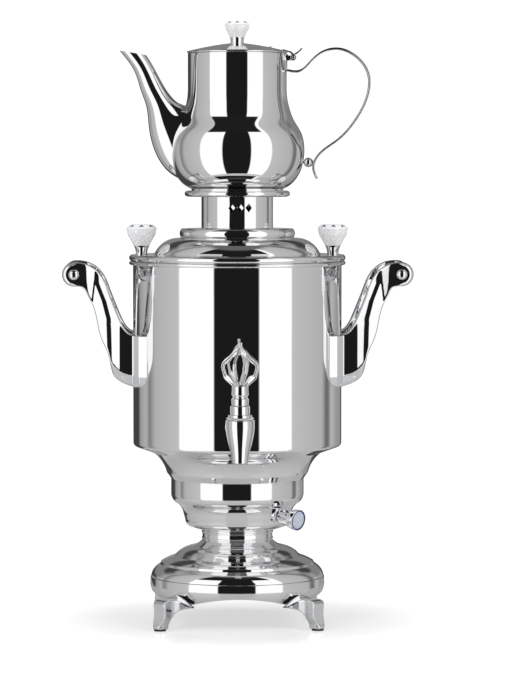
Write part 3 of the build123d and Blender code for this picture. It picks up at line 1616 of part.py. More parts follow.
# ---------------------------------------------------------------- teapot lid
pot_lid_radius = pot_neck_radius + pot_lid_overhang
pot_spigot_radius = pot_neck_radius - sheet - slip_gap - 0.9
with BuildPart() as teapot_lid:
    with BuildSketch(Plane.XZ):
        with BuildLine():
            Line((pot_lid_radius - 0.9, pot_lid_bottom), (pot_lid_radius, pot_lid_bottom + 0.5))
            ThreePointArc(
                (pot_lid_radius, pot_lid_bottom + 0.5),
                (pot_lid_radius - 0.1, pot_lid_bottom + 1.4),
                (pot_lid_radius - 1.2, pot_lid_bottom + 2.1),
            )
            ThreePointArc(
                (pot_lid_radius - 1.2, pot_lid_bottom + 2.1),
                (0.6 * pot_lid_radius, pot_lid_bottom + 6.0),
                (pot_crown_radius, pot_lid_top),
            )
            Polyline(
                (pot_crown_radius, pot_lid_top),
                (0, pot_lid_top),
                (0, pot_lid_top - sheet),
                (pot_crown_radius, pot_lid_top - sheet),
            )
            ThreePointArc(
                (pot_crown_radius, pot_lid_top - sheet),
                (0.6 * pot_lid_radius - 0.2, pot_lid_bottom + 6.0 - sheet),
                (pot_spigot_radius - sheet, pot_lid_bottom + 1.9),
            )
            Polyline(
                (pot_spigot_radius - sheet, pot_lid_bottom + 1.9),
                (pot_spigot_radius - sheet, pot_lid_bottom - 6.0),
                (pot_spigot_radius, pot_lid_bottom - 6.0),
                (pot_spigot_radius, pot_lid_bottom + 0.9),
                (pot_lid_radius - 0.9, pot_lid_bottom + 0.9),
                (pot_lid_radius - 0.9, pot_lid_bottom),
            )
        make_face()
    revolve(axis=Axis.Z)
    with BuildSketch(Plane.XZ):
        with BuildLine():
            Polyline(
                (pot_neck_radius - 4.0, pot_lid_bottom + 2.2),
                (hinge_x - 3.0, pot_lid_bottom + 0.4),
                (hinge_x - 2.5, hinge_z + 1.4),
                (hinge_x, hinge_z),
                (hinge_x + 2.8, hinge_z + 0.7),
                (hinge_x - 1.6, pot_lid_bottom + 2.1),
                (pot_neck_radius - 4.0, pot_lid_bottom + 3.6),
                close=True,
            )
        make_face()
        with Locations((hinge_x, hinge_z)):
            Circle(knuckle_radius)
    extrude(amount=knuckle_half_length, both=True)
    with BuildSketch(Plane.XZ):
        with BuildLine():
            Polyline(
                (hinge_x + 0.6, hinge_z + 3.3),
                (hinge_x + 2.8, hinge_z + 2.6),
                (hinge_x + 8.6, hinge_z + 8.0),
                (hinge_x + 7.4, hinge_z + 9.0),
                close=True,
            )
        make_face()
    extrude(amount=hinge_width / 2 - 1, both=True)
    with BuildSketch(Plane.XZ):
        with BuildLine():
            Polyline(
                (hinge_x, hinge_z),
                (hinge_x + 2.8, hinge_z + 0.7),
                (hinge_x + 3.2, hinge_z + 3.2),
                (hinge_x + 1.0, hinge_z + 3.6),
                close=True,
            )
        make_face()
    extrude(amount=knuckle_half_length, both=True)
    with BuildSketch(Plane.XZ):
        with Locations((hinge_x, hinge_z)):
            Circle(hinge_pin_radius + turn_gap)
    extrude(amount=hinge_width, both=True, mode=Mode.SUBTRACT)
    with BuildSketch(Plane.XY.offset(pot_lid_top - 2 * sheet)):
        Circle(screw_radius)
    extrude(amount=3 * sheet, mode=Mode.SUBTRACT)
keep(teapot_lid, "teapot_lid")

pot_knob_bottom = pot_lid_top + pot_ferrule_rise
with BuildPart() as teapot_lid_ferrule:
    with BuildSketch(Plane.XZ):
        with BuildLine():
            add(
                ferrule_outline(
                    pot_ferrule_radius - 1.6, pot_ferrule_radius, pot_lid_top, pot_ferrule_rise
                )
            )
        make_face()
    revolve(axis=Axis.Z)
    with BuildSketch(Plane.XY.offset(pot_lid_top)):
        Circle(screw_radius)
    extrude(amount=pot_ferrule_rise, mode=Mode.SUBTRACT)
keep(teapot_lid_ferrule, "teapot_lid_ferrule")

with BuildPart() as teapot_lid_knob:
    with BuildSketch(Plane.XZ):
        with BuildLine():
            add(
                knob_outline(
                    pot_knob_foot_radius, pot_knob_head_radius, pot_knob_bottom, pot_knob_rise
                )
            )
        make_face()
    revolve(axis=Axis.Z)
    with BuildSketch(Plane.XY.offset(pot_knob_bottom)):
        Circle(screw_radius)
    extrude(amount=0.5 * pot_knob_rise, mode=Mode.SUBTRACT)
keep(teapot_lid_knob, "teapot_lid_knob")

with BuildPart() as teapot_lid_screw:
    with BuildSketch(Plane.XY.offset(pot_lid_top - sheet - screw_head_thickness)):
        Circle(screw_head_radius)
    extrude(amount=screw_head_thickness)
    with BuildSketch(Plane.XY.offset(pot_lid_top - sheet)):
        Circle(screw_radius)
    extrude(amount=sheet + pot_ferrule_rise + 0.5 * pot_knob_rise - 1)
keep(teapot_lid_screw, "teapot_lid_screw")
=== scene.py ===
"""Samovar: the visible finish of every piece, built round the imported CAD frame.

Lengths are millimetres in the outlines and become metres when a mesh is made. +Z up, tap at -Y,
spout at -X. A turned outline is a list of (radius, height) points. The points of an outline are the
shape itself, so they are written where the shape is drawn.
"""
import json
import math

import bmesh
import bpy
import numpy as np
from mathutils import Matrix, Vector
from mathutils.geometry import delaunay_2d_cdt


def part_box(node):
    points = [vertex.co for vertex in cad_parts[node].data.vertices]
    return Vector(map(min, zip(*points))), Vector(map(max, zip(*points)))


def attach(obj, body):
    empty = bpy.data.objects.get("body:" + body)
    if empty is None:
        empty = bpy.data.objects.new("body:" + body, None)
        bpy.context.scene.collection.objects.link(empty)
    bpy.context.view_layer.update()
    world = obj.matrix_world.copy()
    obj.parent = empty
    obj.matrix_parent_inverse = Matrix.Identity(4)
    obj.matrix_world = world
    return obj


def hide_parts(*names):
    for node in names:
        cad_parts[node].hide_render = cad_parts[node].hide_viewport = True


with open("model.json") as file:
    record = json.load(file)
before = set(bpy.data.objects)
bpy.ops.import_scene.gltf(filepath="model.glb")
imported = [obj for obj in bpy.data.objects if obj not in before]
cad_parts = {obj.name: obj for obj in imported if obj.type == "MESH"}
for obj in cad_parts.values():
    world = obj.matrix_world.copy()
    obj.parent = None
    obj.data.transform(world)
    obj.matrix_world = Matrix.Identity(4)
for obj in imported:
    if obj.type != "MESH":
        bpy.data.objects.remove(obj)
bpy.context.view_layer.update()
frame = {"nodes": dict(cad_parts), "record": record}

MM = 0.001
SHEET = 1  # thickness of the pressed steel
CLEAR = 0.3  # gap between one piece and the next
HOLD, HOLD_FROM = 0.39, 1.2  # a straight run longer than the second is held this near its ends
SAME = 1e-4  # outline points nearer than this are one point
MERGE = 2e-6  # mesh points nearer than this, in metres, are one point
FINE, SMALL, TINY = 192, 96, 48  # steps round a turned piece
SHARP = 38  # degrees at which an edge is shaded sharp
STEEL, CAST = "polished_steel", "plated_casting"


# ------------ sizes read from the frame
def low(node):
    """Lowest corner of a CAD node, in millimetres."""
    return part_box(node)[0] / MM


def high(node):
    """Highest corner of a CAD node, in millimetres."""
    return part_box(node)[1] / MM


skirt_low = low("base_skirt").z
skirt_top = high("base_skirt").z
skirt_radius = high("base_skirt").x
bell_top = high("base_bell").z
neck_bead = 0.8
neck_radius = high("pedestal_neck").x - neck_bead
neck_top = high("pedestal_neck").z
cup_top = high("pedestal_cup").z
cup_radius = high("pedestal_cup").x
flare_top = high("boiler_flare").z
boiler_radius = high("boiler_flare").x
rim_top = high("boiler_shell").z
rim_radius = high("boiler_shell").x
rim_bead = 1.85
wall_top = rim_top - 2 * rim_bead
lid_low = rim_top + CLEAR
lid_flat = lid_low + 5.6
ring_top = high("boiler_lid").z
ring_radius = 54.2
dome_top = ring_top - 8.9
dome_radius = 77
mouth_radius = 30
collar_low = ring_top + CLEAR
collar_top = high("stand_collar").z
collar_radius = high("stand_collar").x
plate_top = collar_top + SHEET
plate_radius = high("stand_plate").x
pot_low = plate_top + CLEAR
pot_floor = pot_low + 4.2
pot_top = high("teapot_body").z
pot_neck_radius = 46.3
pot_neck_low = pot_floor + 92.7
pot_lid_low = pot_top + CLEAR
pot_lid_top = pot_lid_low + 9.2
hinge_x, hinge_z = 52.4, pot_top - 3.7
tap_y = 0.5 * (low("tap_plug").y + high("tap_plug").y)
nozzle_mouth = low("tap_body").z
tap_rim = high("tap_body").z
tap_port = nozzle_mouth + 30.7
gland_top = high("tap_gland").z
key_low = gland_top + CLEAR
key_top = high("tap_key").z


# ------------ outlines
def line(start, end):
    """A straight run with a holding point just inside each end, so that its shading stays true."""
    length = math.dist(start, end)
    run = [start]
    if length > HOLD_FROM:
        for way in (HOLD / length, 1 - HOLD / length):
            run.append(tuple(a + (b - a) * way for a, b in zip(start, end)))
    return run + [end]


def arc(start, middle, end, steps):
    """Points on the circle through three points."""
    (ax, ay), (bx, by), (cx, cy) = start, middle, end
    twice = 2 * (ax * (by - cy) + bx * (cy - ay) + cx * (ay - by))
    sa, sb, sc = ax * ax + ay * ay, bx * bx + by * by, cx * cx + cy * cy
    ox = (sa * (by - cy) + sb * (cy - ay) + sc * (ay - by)) / twice
    oy = (sa * (cx - bx) + sb * (ax - cx) + sc * (bx - ax)) / twice
    first = math.atan2(ay - oy, ax - ox)
    half = math.atan2(by - oy, bx - ox)
    turn = (math.atan2(cy - oy, cx - ox) - first) % math.tau
    if (half - first) % math.tau > turn:
        turn -= math.tau
    radius = math.hypot(ax - ox, ay - oy)
    angles = [first + turn * step / steps for step in range(steps + 1)]
    return [(ox + radius * math.cos(a), oy + radius * math.sin(a)) for a in angles]


def curve(points, steps):
    """Smooth line through points: a natural cubic spline over the chord lengths."""
    p = np.array(points, float)
    n = len(p)
    h = np.linalg.norm(np.diff(p, axis=0), axis=1)
    a = np.eye(n)
    r = np.zeros_like(p)
    for i in range(1, n - 1):
        a[i, i - 1], a[i, i], a[i, i + 1] = h[i - 1], 2 * (h[i - 1] + h[i]), h[i]
        r[i] = 6 * ((p[i + 1] - p[i]) / h[i] - (p[i] - p[i - 1]) / h[i - 1])
    m = np.linalg.solve(a, r)
    out = []
    for i in range(n - 1):
        for s in np.linspace(0, h[i], steps + 1)[: None if i == n - 2 else -1]:
            c = h[i] - s
            q = (m[i] * c**3 + m[i + 1] * s**3) / (6 * h[i])
            q = q + (p[i] / h[i] - m[i] * h[i] / 6) * c + (p[i + 1] / h[i] - m[i + 1] * h[i] / 6) * s
            out.append(tuple(q))
    return out


def path(*runs):
    """Runs joined end to end, without the doubled points."""
    points = []
    for run in runs:
        for point in run:
            if not points or math.dist(points[-1], point) > SAME:
                points.append(point)
    return points


def drawn(start, *moves):
    """An outline from a start by moves: a point to run straight to, an arc's (middle, end, steps), or
    a smooth curve's ([points], steps). One that comes back to its start is left without that point."""
    runs = []
    for move in moves:
        if isinstance(move[0], list):
            runs.append(curve([start, *move[0]], move[1]))
            start = move[0][-1]
        elif isinstance(move[0], tuple):
            runs.append(arc(start, *move))
            start = move[1]
        else:
            runs.append(line(start, move))
            start = move
    outline = path(*runs)
    return outline[:-1] if math.dist(outline[0], outline[-1]) < SAME else outline


def eased(points, radius, closed=False, turn_limit=20):
    """The line with its corners rounded."""
    out = []
    count = len(points)
    for i, point in enumerate(points):
        if not closed and i in (0, count - 1):
            out.append(point)
            continue
        here = Vector(point)
        back = Vector(points[i - 1]) - here
        ahead = Vector(points[(i + 1) % count]) - here
        turn = math.pi - back.angle(ahead)
        if math.degrees(turn) < turn_limit:
            out.append(point)
            continue
        cut = min(radius * math.tan(turn / 2), 0.45 * back.length, 0.45 * ahead.length)
        start = here + back.normalized() * cut
        end = here + ahead.normalized() * cut
        for s in (0, 0.25, 0.5, 0.75, 1):
            out.append(tuple(start * (1 - s) ** 2 + here * 2 * s * (1 - s) + end * s**2))
    return out


def walled(outline, thickness=SHEET):
    """Closed section of sheet metal: the outline and a line beside it on its left."""
    inside = []
    for i, point in enumerate(outline):
        before = Vector(outline[max(i - 1, 0)])
        after = Vector(outline[min(i + 1, len(outline) - 1)])
        way = (after - before).normalized()
        inside.append((point[0] - way.y * thickness, point[1] + way.x * thickness))
    return list(outline) + inside[::-1]


# ------------ meshes
def added(name, data):
    """A new object in the scene."""
    thing = bpy.data.objects.new(name, data)
    bpy.context.scene.collection.objects.link(thing)
    return thing


def mesh_of(name, points, faces):
    """A mesh from points in millimetres."""
    mesh = bpy.data.meshes.new(name)
    mesh.from_pydata([tuple(c * MM for c in point) for point in points], [], faces)
    return mesh


def cleaned(mesh):
    """Joins a mesh's doubled points and turns its faces outward."""
    form = bmesh.new()
    form.from_mesh(mesh)
    bmesh.ops.remove_doubles(form, verts=form.verts, dist=MERGE)
    bmesh.ops.recalc_face_normals(form, faces=form.faces)
    form.to_mesh(mesh)
    form.free()


def finished(name, mesh, body, nodes, slot, sharp):
    """Tidy normals, smooth shading, the material of its slot and the body of a new mesh."""
    cleaned(mesh)
    mesh.shade_smooth()
    mesh.set_sharp_from_angle(angle=math.radians(sharp))
    thing = added(name, mesh)
    mesh.materials.append(SLOT_MATERIALS[slot])
    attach(thing, body)
    if nodes:
        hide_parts(*nodes)
    return thing


def piece(name, skin, body, nodes, slot=STEEL, sharp=SHARP, place=None):
    """A skin of millimetre points and faces that rides on a body and stands for CAD nodes."""
    points, faces = skin
    if place is not None:
        points = [place @ Vector(point) for point in points]
    return finished(name, mesh_of(name, points, faces), body, nodes, slot, sharp)


def ring_faces(rings, around_closed=True, along_closed=True):
    """Points and faces of a skin over rings that hold equally many points."""
    points = [point for ring in rings for point in ring]
    count = len(rings[0])
    faces = []
    for i in range(len(rings) if along_closed else len(rings) - 1):
        after = (i + 1) % len(rings)
        for j in range(count if around_closed else count - 1):
            k = (j + 1) % count
            faces.append((i * count + j, i * count + k, after * count + k, after * count + j))
    return points, faces


def rod(rings):
    """Points and faces of a rod over closed rings, with both its ends filled."""
    points, faces = ring_faces(rings, along_closed=False)
    count = len(rings[0])
    return points, faces + [tuple(range(count))[::-1], tuple(range(len(points) - count, len(points)))]


def prism_faces(count, start=0):
    """Faces of a prism whose two ends hold equally many points, one end after the other."""
    near = range(start, start + count)
    far = range(start + 2 * count - 1, start + count - 1, -1)
    sides = []
    for i in range(count):
        j = (i + 1) % count
        sides.append((start + i, start + j, start + j + count, start + i + count))
    return [tuple(near), tuple(far)] + sides


def around(count, shift=0):
    """Cosine and sine of equal steps round a full turn."""
    turns = [math.tau * (step + shift) / count for step in range(count)]
    return [(math.cos(turn), math.sin(turn)) for turn in turns]


def turned_skin(outline, steps=FINE):
    """Points and faces of an outline turned about the local Z axis, left open where it starts there."""
    rings = [[(r * c, r * s, z) for r, z in outline] for c, s in around(steps)]
    return ring_faces(rings, around_closed=outline[0][0] > SAME)


def turned(name, outline, body, nodes=(), slot=STEEL, steps=FINE, place=None, sharp=SHARP):
    """A turned piece."""
    return piece(name, turned_skin(outline, steps), body, nodes, slot, sharp, place)


def along(origin, way, up=(0, 0, 1)):
    """Placing matrix whose local Z runs along a way."""
    z = Vector(way).normalized()
    x = Vector(up).cross(z)
    x = Vector((1, 0, 0)) if x.length < 1e-6 else x.normalized()
    y = z.cross(x)
    turn = Matrix((x, y, z)).transposed().to_4x4()
    return Matrix.Translation(Vector(origin)) @ turn


def shaped(thing, *modifiers):
    """The mesh that modifiers make of an object, each given by its kind and settings."""
    for kind, settings in modifiers:
        modifier = thing.modifiers.new(kind.lower(), kind)
        for setting, value in settings.items():
            setattr(modifier, setting, value)
    mesh = bpy.data.meshes.new_from_object(thing.evaluated_get(bpy.context.evaluated_depsgraph_get()))
    thing.modifiers.clear()
    return mesh


def cut_by(thing, points, faces):
    """Cuts a piece by a closed form given in millimetres."""
    mesh = mesh_of("cutter", points, faces)
    cleaned(mesh)
    cutter = added("cutter", mesh)
    thing.data = shaped(thing, ("BOOLEAN", {"object": cutter, "solver": "EXACT"}))
    bpy.data.objects.remove(cutter)


def prism(name, outline, half, body, nodes=(), middle=0, round_by=0.35):
    """An outline of (x, z) points pushed out both ways along Y, with its edges rounded."""
    points = [(x, y, z) for y in (middle - half, middle + half) for x, z in outline]
    thing = piece(name, (points, prism_faces(len(outline))), body, nodes)
    thing.data = shaped(thing, ("BEVEL", {
        "width": round_by * MM, "segments": 4, "limit_method": "ANGLE", "angle_limit": math.radians(32),
    }))
    thing.data.shade_smooth()
    thing.data.set_sharp_from_angle(angle=math.radians(40))


# ------------ materials
WHITE = (1, 1, 1, 1)
BUMP_DEPTH = 0.0002


def fed(tree, shader, sockets):
    """Gives a node's sockets their values, or links them to the outputs of other nodes."""
    for socket, value in sockets.items():
        if isinstance(value, bpy.types.NodeSocket):
            tree.links.new(value, shader.inputs[socket])
        else:
            shader.inputs[socket].default_value = value


def noded(tree, kind, sockets=(), output=0, **settings):
    """The output of a new shader node."""
    made = tree.nodes.new("ShaderNode" + kind)
    for setting, value in settings.items():
        setattr(made, setting, value)
    fed(tree, made, dict(sockets))
    return made.outputs[output]


def grain(name, colour, second, metallic, rough, scale, wave, stretch=(1, 1, 1)):
    """Surface with a fine procedural variation of colour and roughness and a slight waviness."""
    material = bpy.data.materials.new(name)
    material.use_nodes = True
    tree = material.node_tree
    place = noded(tree, "TexCoord", output="Object")
    fit = noded(tree, "Mapping", {"Vector": place, "Scale": [scale * s for s in stretch]})
    cloud = noded(tree, "TexNoise", {"Vector": fit, "Detail": 4, "Scale": 1}, "Fac")
    colours = {"Factor": cloud, "A": (*colour, 1), "B": (*second, 1)}
    look = {
        "Metallic": metallic,
        "Base Color": noded(tree, "Mix", colours, "Result", data_type="RGBA"),
        "Roughness": noded(tree, "MapRange", {"Value": cloud, "To Min": rough[0], "To Max": rough[1]}),
    }
    if wave:
        look["Normal"] = noded(tree, "Bump", {"Strength": wave, "Distance": BUMP_DEPTH, "Height": cloud})
    fed(tree, tree.nodes["Principled BSDF"], look)
    return material


# each slot with its finish: name, two colours, metallic, roughness from and to, grains in a metre,
# waviness and, for the crystal, stretch
SLOT_MATERIALS = {
    slot: grain(*look) for slot, *look in (
        (STEEL, "polished_steel", (0.93, 0.93, 0.935), (0.88, 0.88, 0.89), 1, (0.012, 0.03), 9, 0),
        (CAST, "plated_metal", (0.92, 0.925, 0.935), (0.86, 0.87, 0.885), 1, (0.02, 0.05), 60, 0.05),
        ("plain_steel", "plain_steel", (0.62, 0.62, 0.63), (0.52, 0.52, 0.54), 1, (0.22, 0.36), 300, 0.2),
        ("valve_brass", "valve_brass", (0.78, 0.62, 0.34), (0.68, 0.52, 0.26), 1, (0.12, 0.26), 200, 0.1),
        ("seal_rubber", "seal_rubber", (0.02, 0.02, 0.022), (0.035, 0.034, 0.034), 0, (0.5, 0.7), 400, 0.4),
        ("dark_plastic", "dark_plastic", (0.018, 0.018, 0.02), (0.03, 0.03, 0.032), 0, (0.35, 0.5), 900, 0.5),
        ("blue_trim", "blue_trim", (0.01, 0.02, 0.22), (0.02, 0.035, 0.3), 0, (0.15, 0.3), 200, 0.1),
        ("pilot_lens", "pilot_lens", (0.74, 0.81, 0.95), (0.84, 0.89, 0.98), 0, (0.05, 0.12), 90, 0.05),
        (
            "clear_knob", "cut_crystal", (0.97, 0.975, 0.985), (0.9, 0.91, 0.93), 0, (0, 0.04), 420, 0,
            (1, 1, 0.2),
        ),
    )
}
crystal = SLOT_MATERIALS["clear_knob"].node_tree
# the crystal glows faintly white: painted light that stands in for light passing through the crystal
fed(crystal, crystal.nodes["Principled BSDF"], {
    "IOR": 1.75, "Emission Color": WHITE, "Emission Strength": 0.2,
})
# dark blue finish for some crown facets: a painted reflection of the dark lid seen through the crystal
painted_crystal_reflection = grain("painted_crystal_reflection", (0.03, 0.035, 0.07), (0.09, 0.1, 0.17), 0, (0.02, 0.08), 300, 0)


def dress_rest():
    """Every CAD node gets the procedural finish of its slot, for those that still show."""
    slots = {row["node"]: row["material_slot"] for row in frame["record"]["subparts"]}
    for name, thing in frame["nodes"].items():
        thing.data.materials.clear()
        thing.data.materials.append(SLOT_MATERIALS.get(slots.get(name), SLOT_MATERIALS[STEEL]))


# ------------ stage
FLOOR_RADIUS, FLOOR_DROP = 0.38, 0.00005
FLOOR_GREY = (0.8, 0.8, 0.8, 1)
FLOOR_FADE = (0.1, 0.28)  # metres from the object over which the floor brightens for the camera
FLOOR_GLOW = (0.5, 0.9)
LAMPS = (
    ("key_left", (-1.5, -1.6, 1.9), 1.2, 14), ("key_right", (1.7, -1.3, 1.7), 1.2, 11),
    ("top", (0, 0.3, 2.3), 1.6, 12),
)
LAMP_AIM = (0, 0, 0.25)
# brightness of the studio round the camera's direction, by degrees away from it
LEFT_PANELS = (
    (0, 0.01), (26, 0.01), (27.6, 1), (67, 1), (69, 0.5), (104, 0.42), (114, 0.2), (122, 0.42), (136, 0.3),
    (142, 0.05), (168, 0.05), (174, 0.3), (180, 0.3),
)
RIGHT_PANELS = (
    (0, 0.01), (22.1, 0.01), (23.7, 1), (60, 1), (62, 0.5), (106, 0.42), (114, 0.14), (119, 0.16),
    (126, 0.45), (140, 0.3), (158, 0.26), (162, 0.06), (174, 0.06), (178, 0.3), (180, 0.3),
)
# brightness of the wall behind the object, by degrees over the table
BACK_WALL = (
    (0, 0.2), (24, 0.2), (29, 0.05), (38, 0.05), (43, 0.3), (52, 0.22), (56, 0.06), (66, 0.1), (90, 0.12),
)
WALL_RISE, WALL_AWAY = (5, 10), (112, 140)
PANEL_LIGHT = 1.12
PANEL_TOP, PANEL_BLUR = 24, 0.6
OVER_PANELS = (0.012, 0.012, 0.012, 1)
LEFT_DARK, RIGHT_DARK, DARK_BLUR = 66, 51, 3
CEILING_LOW, CEILING_BLUR = 70, 4
CEILING = (0.12, 0.12, 0.122, 1)


def stage_set():
    """Pale glossy floor, a studio of broad light and dark panels, and soft lamps."""
    bpy.ops.mesh.primitive_circle_add(
        vertices=128, radius=FLOOR_RADIUS, fill_type="NGON", location=(0, 0, -FLOOR_DROP)
    )
    floor = bpy.context.object
    floor.name = "floor"
    material = bpy.data.materials.new("floor_white")
    material.use_nodes = True
    tree = material.node_tree
    # the camera sees the floor brighten to the white round it
    place = noded(tree, "TexCoord", output="Object")
    reach = noded(tree, "VectorMath", {0: place}, "Value", operation="LENGTH")
    span = dict(zip(("From Min", "From Max", "To Min", "To Max"), FLOOR_FADE + FLOOR_GLOW))
    fade = noded(tree, "MapRange", {"Value": reach, **span}, interpolation_type="SMOOTHSTEP")
    seen = noded(tree, "LightPath", output="Is Camera Ray")
    glow = noded(tree, "Math", {0: fade, 1: seen}, operation="MULTIPLY")
    fed(tree, tree.nodes["Principled BSDF"], {
        "Base Color": FLOOR_GREY, "Roughness": 0.12, "Emission Color": WHITE, "Emission Strength": glow,
    })
    floor.data.materials.append(material)
    world_panels()
    for name, where, size, power in LAMPS:
        lamp = bpy.data.lights.new(name, "AREA")
        lamp.shape = "DISK"
        lamp.size = size
        lamp.energy = power
        thing = added(name, lamp)
        thing.location = where
        thing.rotation_mode = "QUATERNION"
        thing.rotation_quaternion = (Vector(LAMP_AIM) - Vector(where)).to_track_quat("-Z", "Y")
        thing.visible_glossy = thing.visible_camera = False


def world_panels():
    """World light: panels by direction, dark towards the camera, white beside it, grey round it."""
    world = bpy.data.worlds.new("studio")
    bpy.context.scene.world = world
    world.use_nodes = True
    tree = world.node_tree

    def worked(operation, *values):
        return noded(tree, "Math", enumerate(values), operation=operation)

    def mixed(*values):
        return noded(tree, "Mix", zip(("Factor", "A", "B"), values), "Result", data_type="RGBA")

    def ramped(value, span, stops):
        """Greys by degrees out of a span."""
        made = noded(tree, "ValToRGB", {"Fac": value})
        elements = made.node.color_ramp.elements
        while len(elements) > 1:
            elements.remove(elements[-1])
        for i, (place, grey) in enumerate(stops):
            element = elements[0] if i == 0 else elements.new(place / span)
            element.position = place / span
            element.color = (grey, grey, grey, 1)
        return made

    def stepped(value, span, start, end, before=0, after=1):
        return ramped(value, span, ((0, before), (start, before), (end, after), (span, after)))

    way = noded(tree, "TexCoord", output="Generated")
    x, y, z = noded(tree, "SeparateXYZ", {"Vector": way}).node.outputs
    turn = worked("ARCTAN2", x, worked("MULTIPLY", y, -1))
    away = worked("DIVIDE", worked("ABSOLUTE", turn), math.pi)
    rise = worked("DIVIDE", worked("ARCSINE", z), math.pi / 2)
    side = worked("GREATER_THAN", turn, 0)
    beside = mixed(side, ramped(away, 180, LEFT_PANELS), ramped(away, 180, RIGHT_PANELS))
    # above the white panels it is dark, behind the object a dim wall stands over the table
    ahead = worked("SUBTRACT", y, 1)
    level = worked("SQRT", worked("ADD", worked("MULTIPLY", x, x), worked("MULTIPLY", ahead, ahead)))
    slope = worked("DIVIDE", worked("ARCTAN2", z, level), math.pi / 2)
    above = stepped(slope, 90, PANEL_TOP - PANEL_BLUR, PANEL_TOP + PANEL_BLUR)
    fronts = [stepped(away, 180, dark, dark + DARK_BLUR, 1, 0) for dark in (LEFT_DARK, RIGHT_DARK)]
    panels = mixed(worked("MULTIPLY", above, mixed(side, *fronts)), beside, OVER_PANELS)
    wall = worked("MULTIPLY", stepped(rise, 90, *WALL_RISE), stepped(away, 180, *WALL_AWAY))
    backed = mixed(wall, panels, ramped(rise, 90, BACK_WALL))
    over = stepped(rise, 90, CEILING_LOW - CEILING_BLUR, CEILING_LOW + CEILING_BLUR)
    seen = noded(tree, "LightPath", output="Is Camera Ray")
    shown = mixed(seen, mixed(over, backed, CEILING), WHITE)
    fed(tree, tree.nodes["Background"], {"Color": shown, "Strength": PANEL_LIGHT})


def camera_set():
    """Long lens at the photographed place: slightly left of the tap, looking a little down."""
    distance, height = 3.10, 0.4317
    left_of_tap, right_of_axis, down = math.radians(1.1), math.radians(0.412), math.radians(3.12)
    lens = bpy.data.cameras.new("camera")
    lens.lens = 173.7
    lens.sensor_width = 36
    lens.clip_end = 60
    camera = added("camera", lens)
    bpy.context.scene.camera = camera
    camera.location = (-distance * math.sin(left_of_tap), -distance * math.cos(left_of_tap), height)
    heading = left_of_tap + right_of_axis
    look = Vector((math.sin(heading) * math.cos(down), math.cos(heading) * math.cos(down), -math.sin(down)))
    camera.rotation_mode = "QUATERNION"
    camera.rotation_quaternion = look.to_track_quat("-Z", "Y")


# ------------ base
ARCH_RADIUS, ARCH_CROWN = 140, 29.5


def arch_height(offset):
    """Height of an arch's underside at an offset from its middle plane."""
    return ARCH_CROWN - ARCH_RADIUS + math.sqrt(ARCH_RADIUS**2 - offset**2)


def skirt():
    """Arched skirt: its lower edge follows the arches, its band rolls over into a flange."""
    crease = skirt_low + 15
    belly = arc((75.4, skirt_low), (80.15, skirt_low + 7.5), (skirt_radius, crease), 40)
    heights = [z for _, z in belly]
    radii = [r for r, _ in belly]
    r, z = skirt_radius, skirt_top
    upper = drawn(
        (r, crease), (r - 0.3, z - 0.8), ((r - 0.55, z - 0.25), (r - 1.1, z), 5), (r - 10.1, z)
    )
    rings = []
    for c, s in around(2 * FINE):
        bottom = skirt_low
        for _ in range(3):
            r = float(np.interp(bottom, heights, radii))
            bottom = max(skirt_low, arch_height(r * c), arch_height(r * s))
        lower = []
        for share in np.linspace(0, 1, 13) ** 1.2:
            z = bottom + (crease - bottom) * share
            lower.append((float(np.interp(z, heights, radii)), float(z)))
        rings.append([(r * c, r * s, z) for r, z in walled(path(lower, upper[1:]))])
    piece("skirt", ring_faces(rings), "boiler", ("base_skirt",), sharp=50)


def bell():
    """Stepped bell: three rounded steps, each over a small cove, up to the neck."""
    foot = skirt_radius - 1.1
    first, second, third = skirt_top + 11.1, skirt_top + 18.8, skirt_top + 27.9
    outline = drawn(
        (foot, skirt_top + 0.15), (foot, skirt_top + 1.5),
        ((78.95, 0.45 * skirt_top + 0.55 * first), (72.9, first), 20), (71.8, first + 2.4),
        ((66.95, 0.42 * first + 0.58 * second + 0.5), (59.2, second), 16), (56.2, second + 3.2),
        ((51.05, 0.3 * second + 0.7 * third + 0.3), (42.5, third), 16),
        ((36.6, 0.5 * (third + bell_top)), (neck_radius, bell_top), 14),
    )
    turned("bell", walled(eased(outline, 0.8)), "boiler", ("base_bell",))


def neck():
    """Short neck with a bead at each end."""
    r, out, z, top = neck_radius, neck_radius + neck_bead, bell_top, neck_top
    outline = drawn(
        (r, z + 0.1), (r, z + 1), ((out, z + 2), (r, z + 3), 8),
        (r, top - 3), ((out, top - 2), (r, top - 1), 8), (r, top - 0.1),
    )
    turned("neck", walled(eased(outline, 0.3), 2.2), "boiler", ("pedestal_neck",))


def cup():
    """Bowl of the pedestal: a coved foot, a waist for the knob and an upright rim band."""
    z = neck_top
    outline = drawn(
        (neck_radius - 1.5, z + 0.05), (neck_radius + 1.5, z + 0.05), (43.5, z + 2.9),
        ((47.8, z + 5.6), (49.3, z + 10), 14), (50.9, z + 15.5),
        ((53.2, z + 21.3), (57.3, z + 25.4), 14), ((61.1, z + 29.1), (cup_radius, z + 34), 14),
        (cup_radius, cup_top),
    )
    bowl = turned("cup", walled(eased(outline, 0.8)), "boiler", ("pedestal_cup",))
    # the opening for the mains inlet
    near = low("mains_inlet") + Vector((2.1, 0, 2.1))
    far = high("mains_inlet") + Vector((-2.1, 4, -2.1))
    corners = ((near.x, near.z), (far.x, near.z), (far.x, far.z), (near.x, far.z))
    cut_by(bowl, [(x, y, z) for y in (near.y, far.y) for x, z in corners], prism_faces(4))


def flare():
    """Flared shoulder that carries the boiler."""
    r, z, top = boiler_radius, cup_top, flare_top
    outline = drawn(
        (cup_radius, z + 0.1), (cup_radius, z + 1.4), (66.6, z + 7.2),
        ((70.5, z + 16.4), (79.2, z + 25.9), 24), (r - 2.7, top - 3.6), ((r - 0.7, top - 2.2), (r, top), 8),
    )
    turned("flare", walled(eased(outline, 1.2, turn_limit=8)), "boiler", ("boiler_flare",))


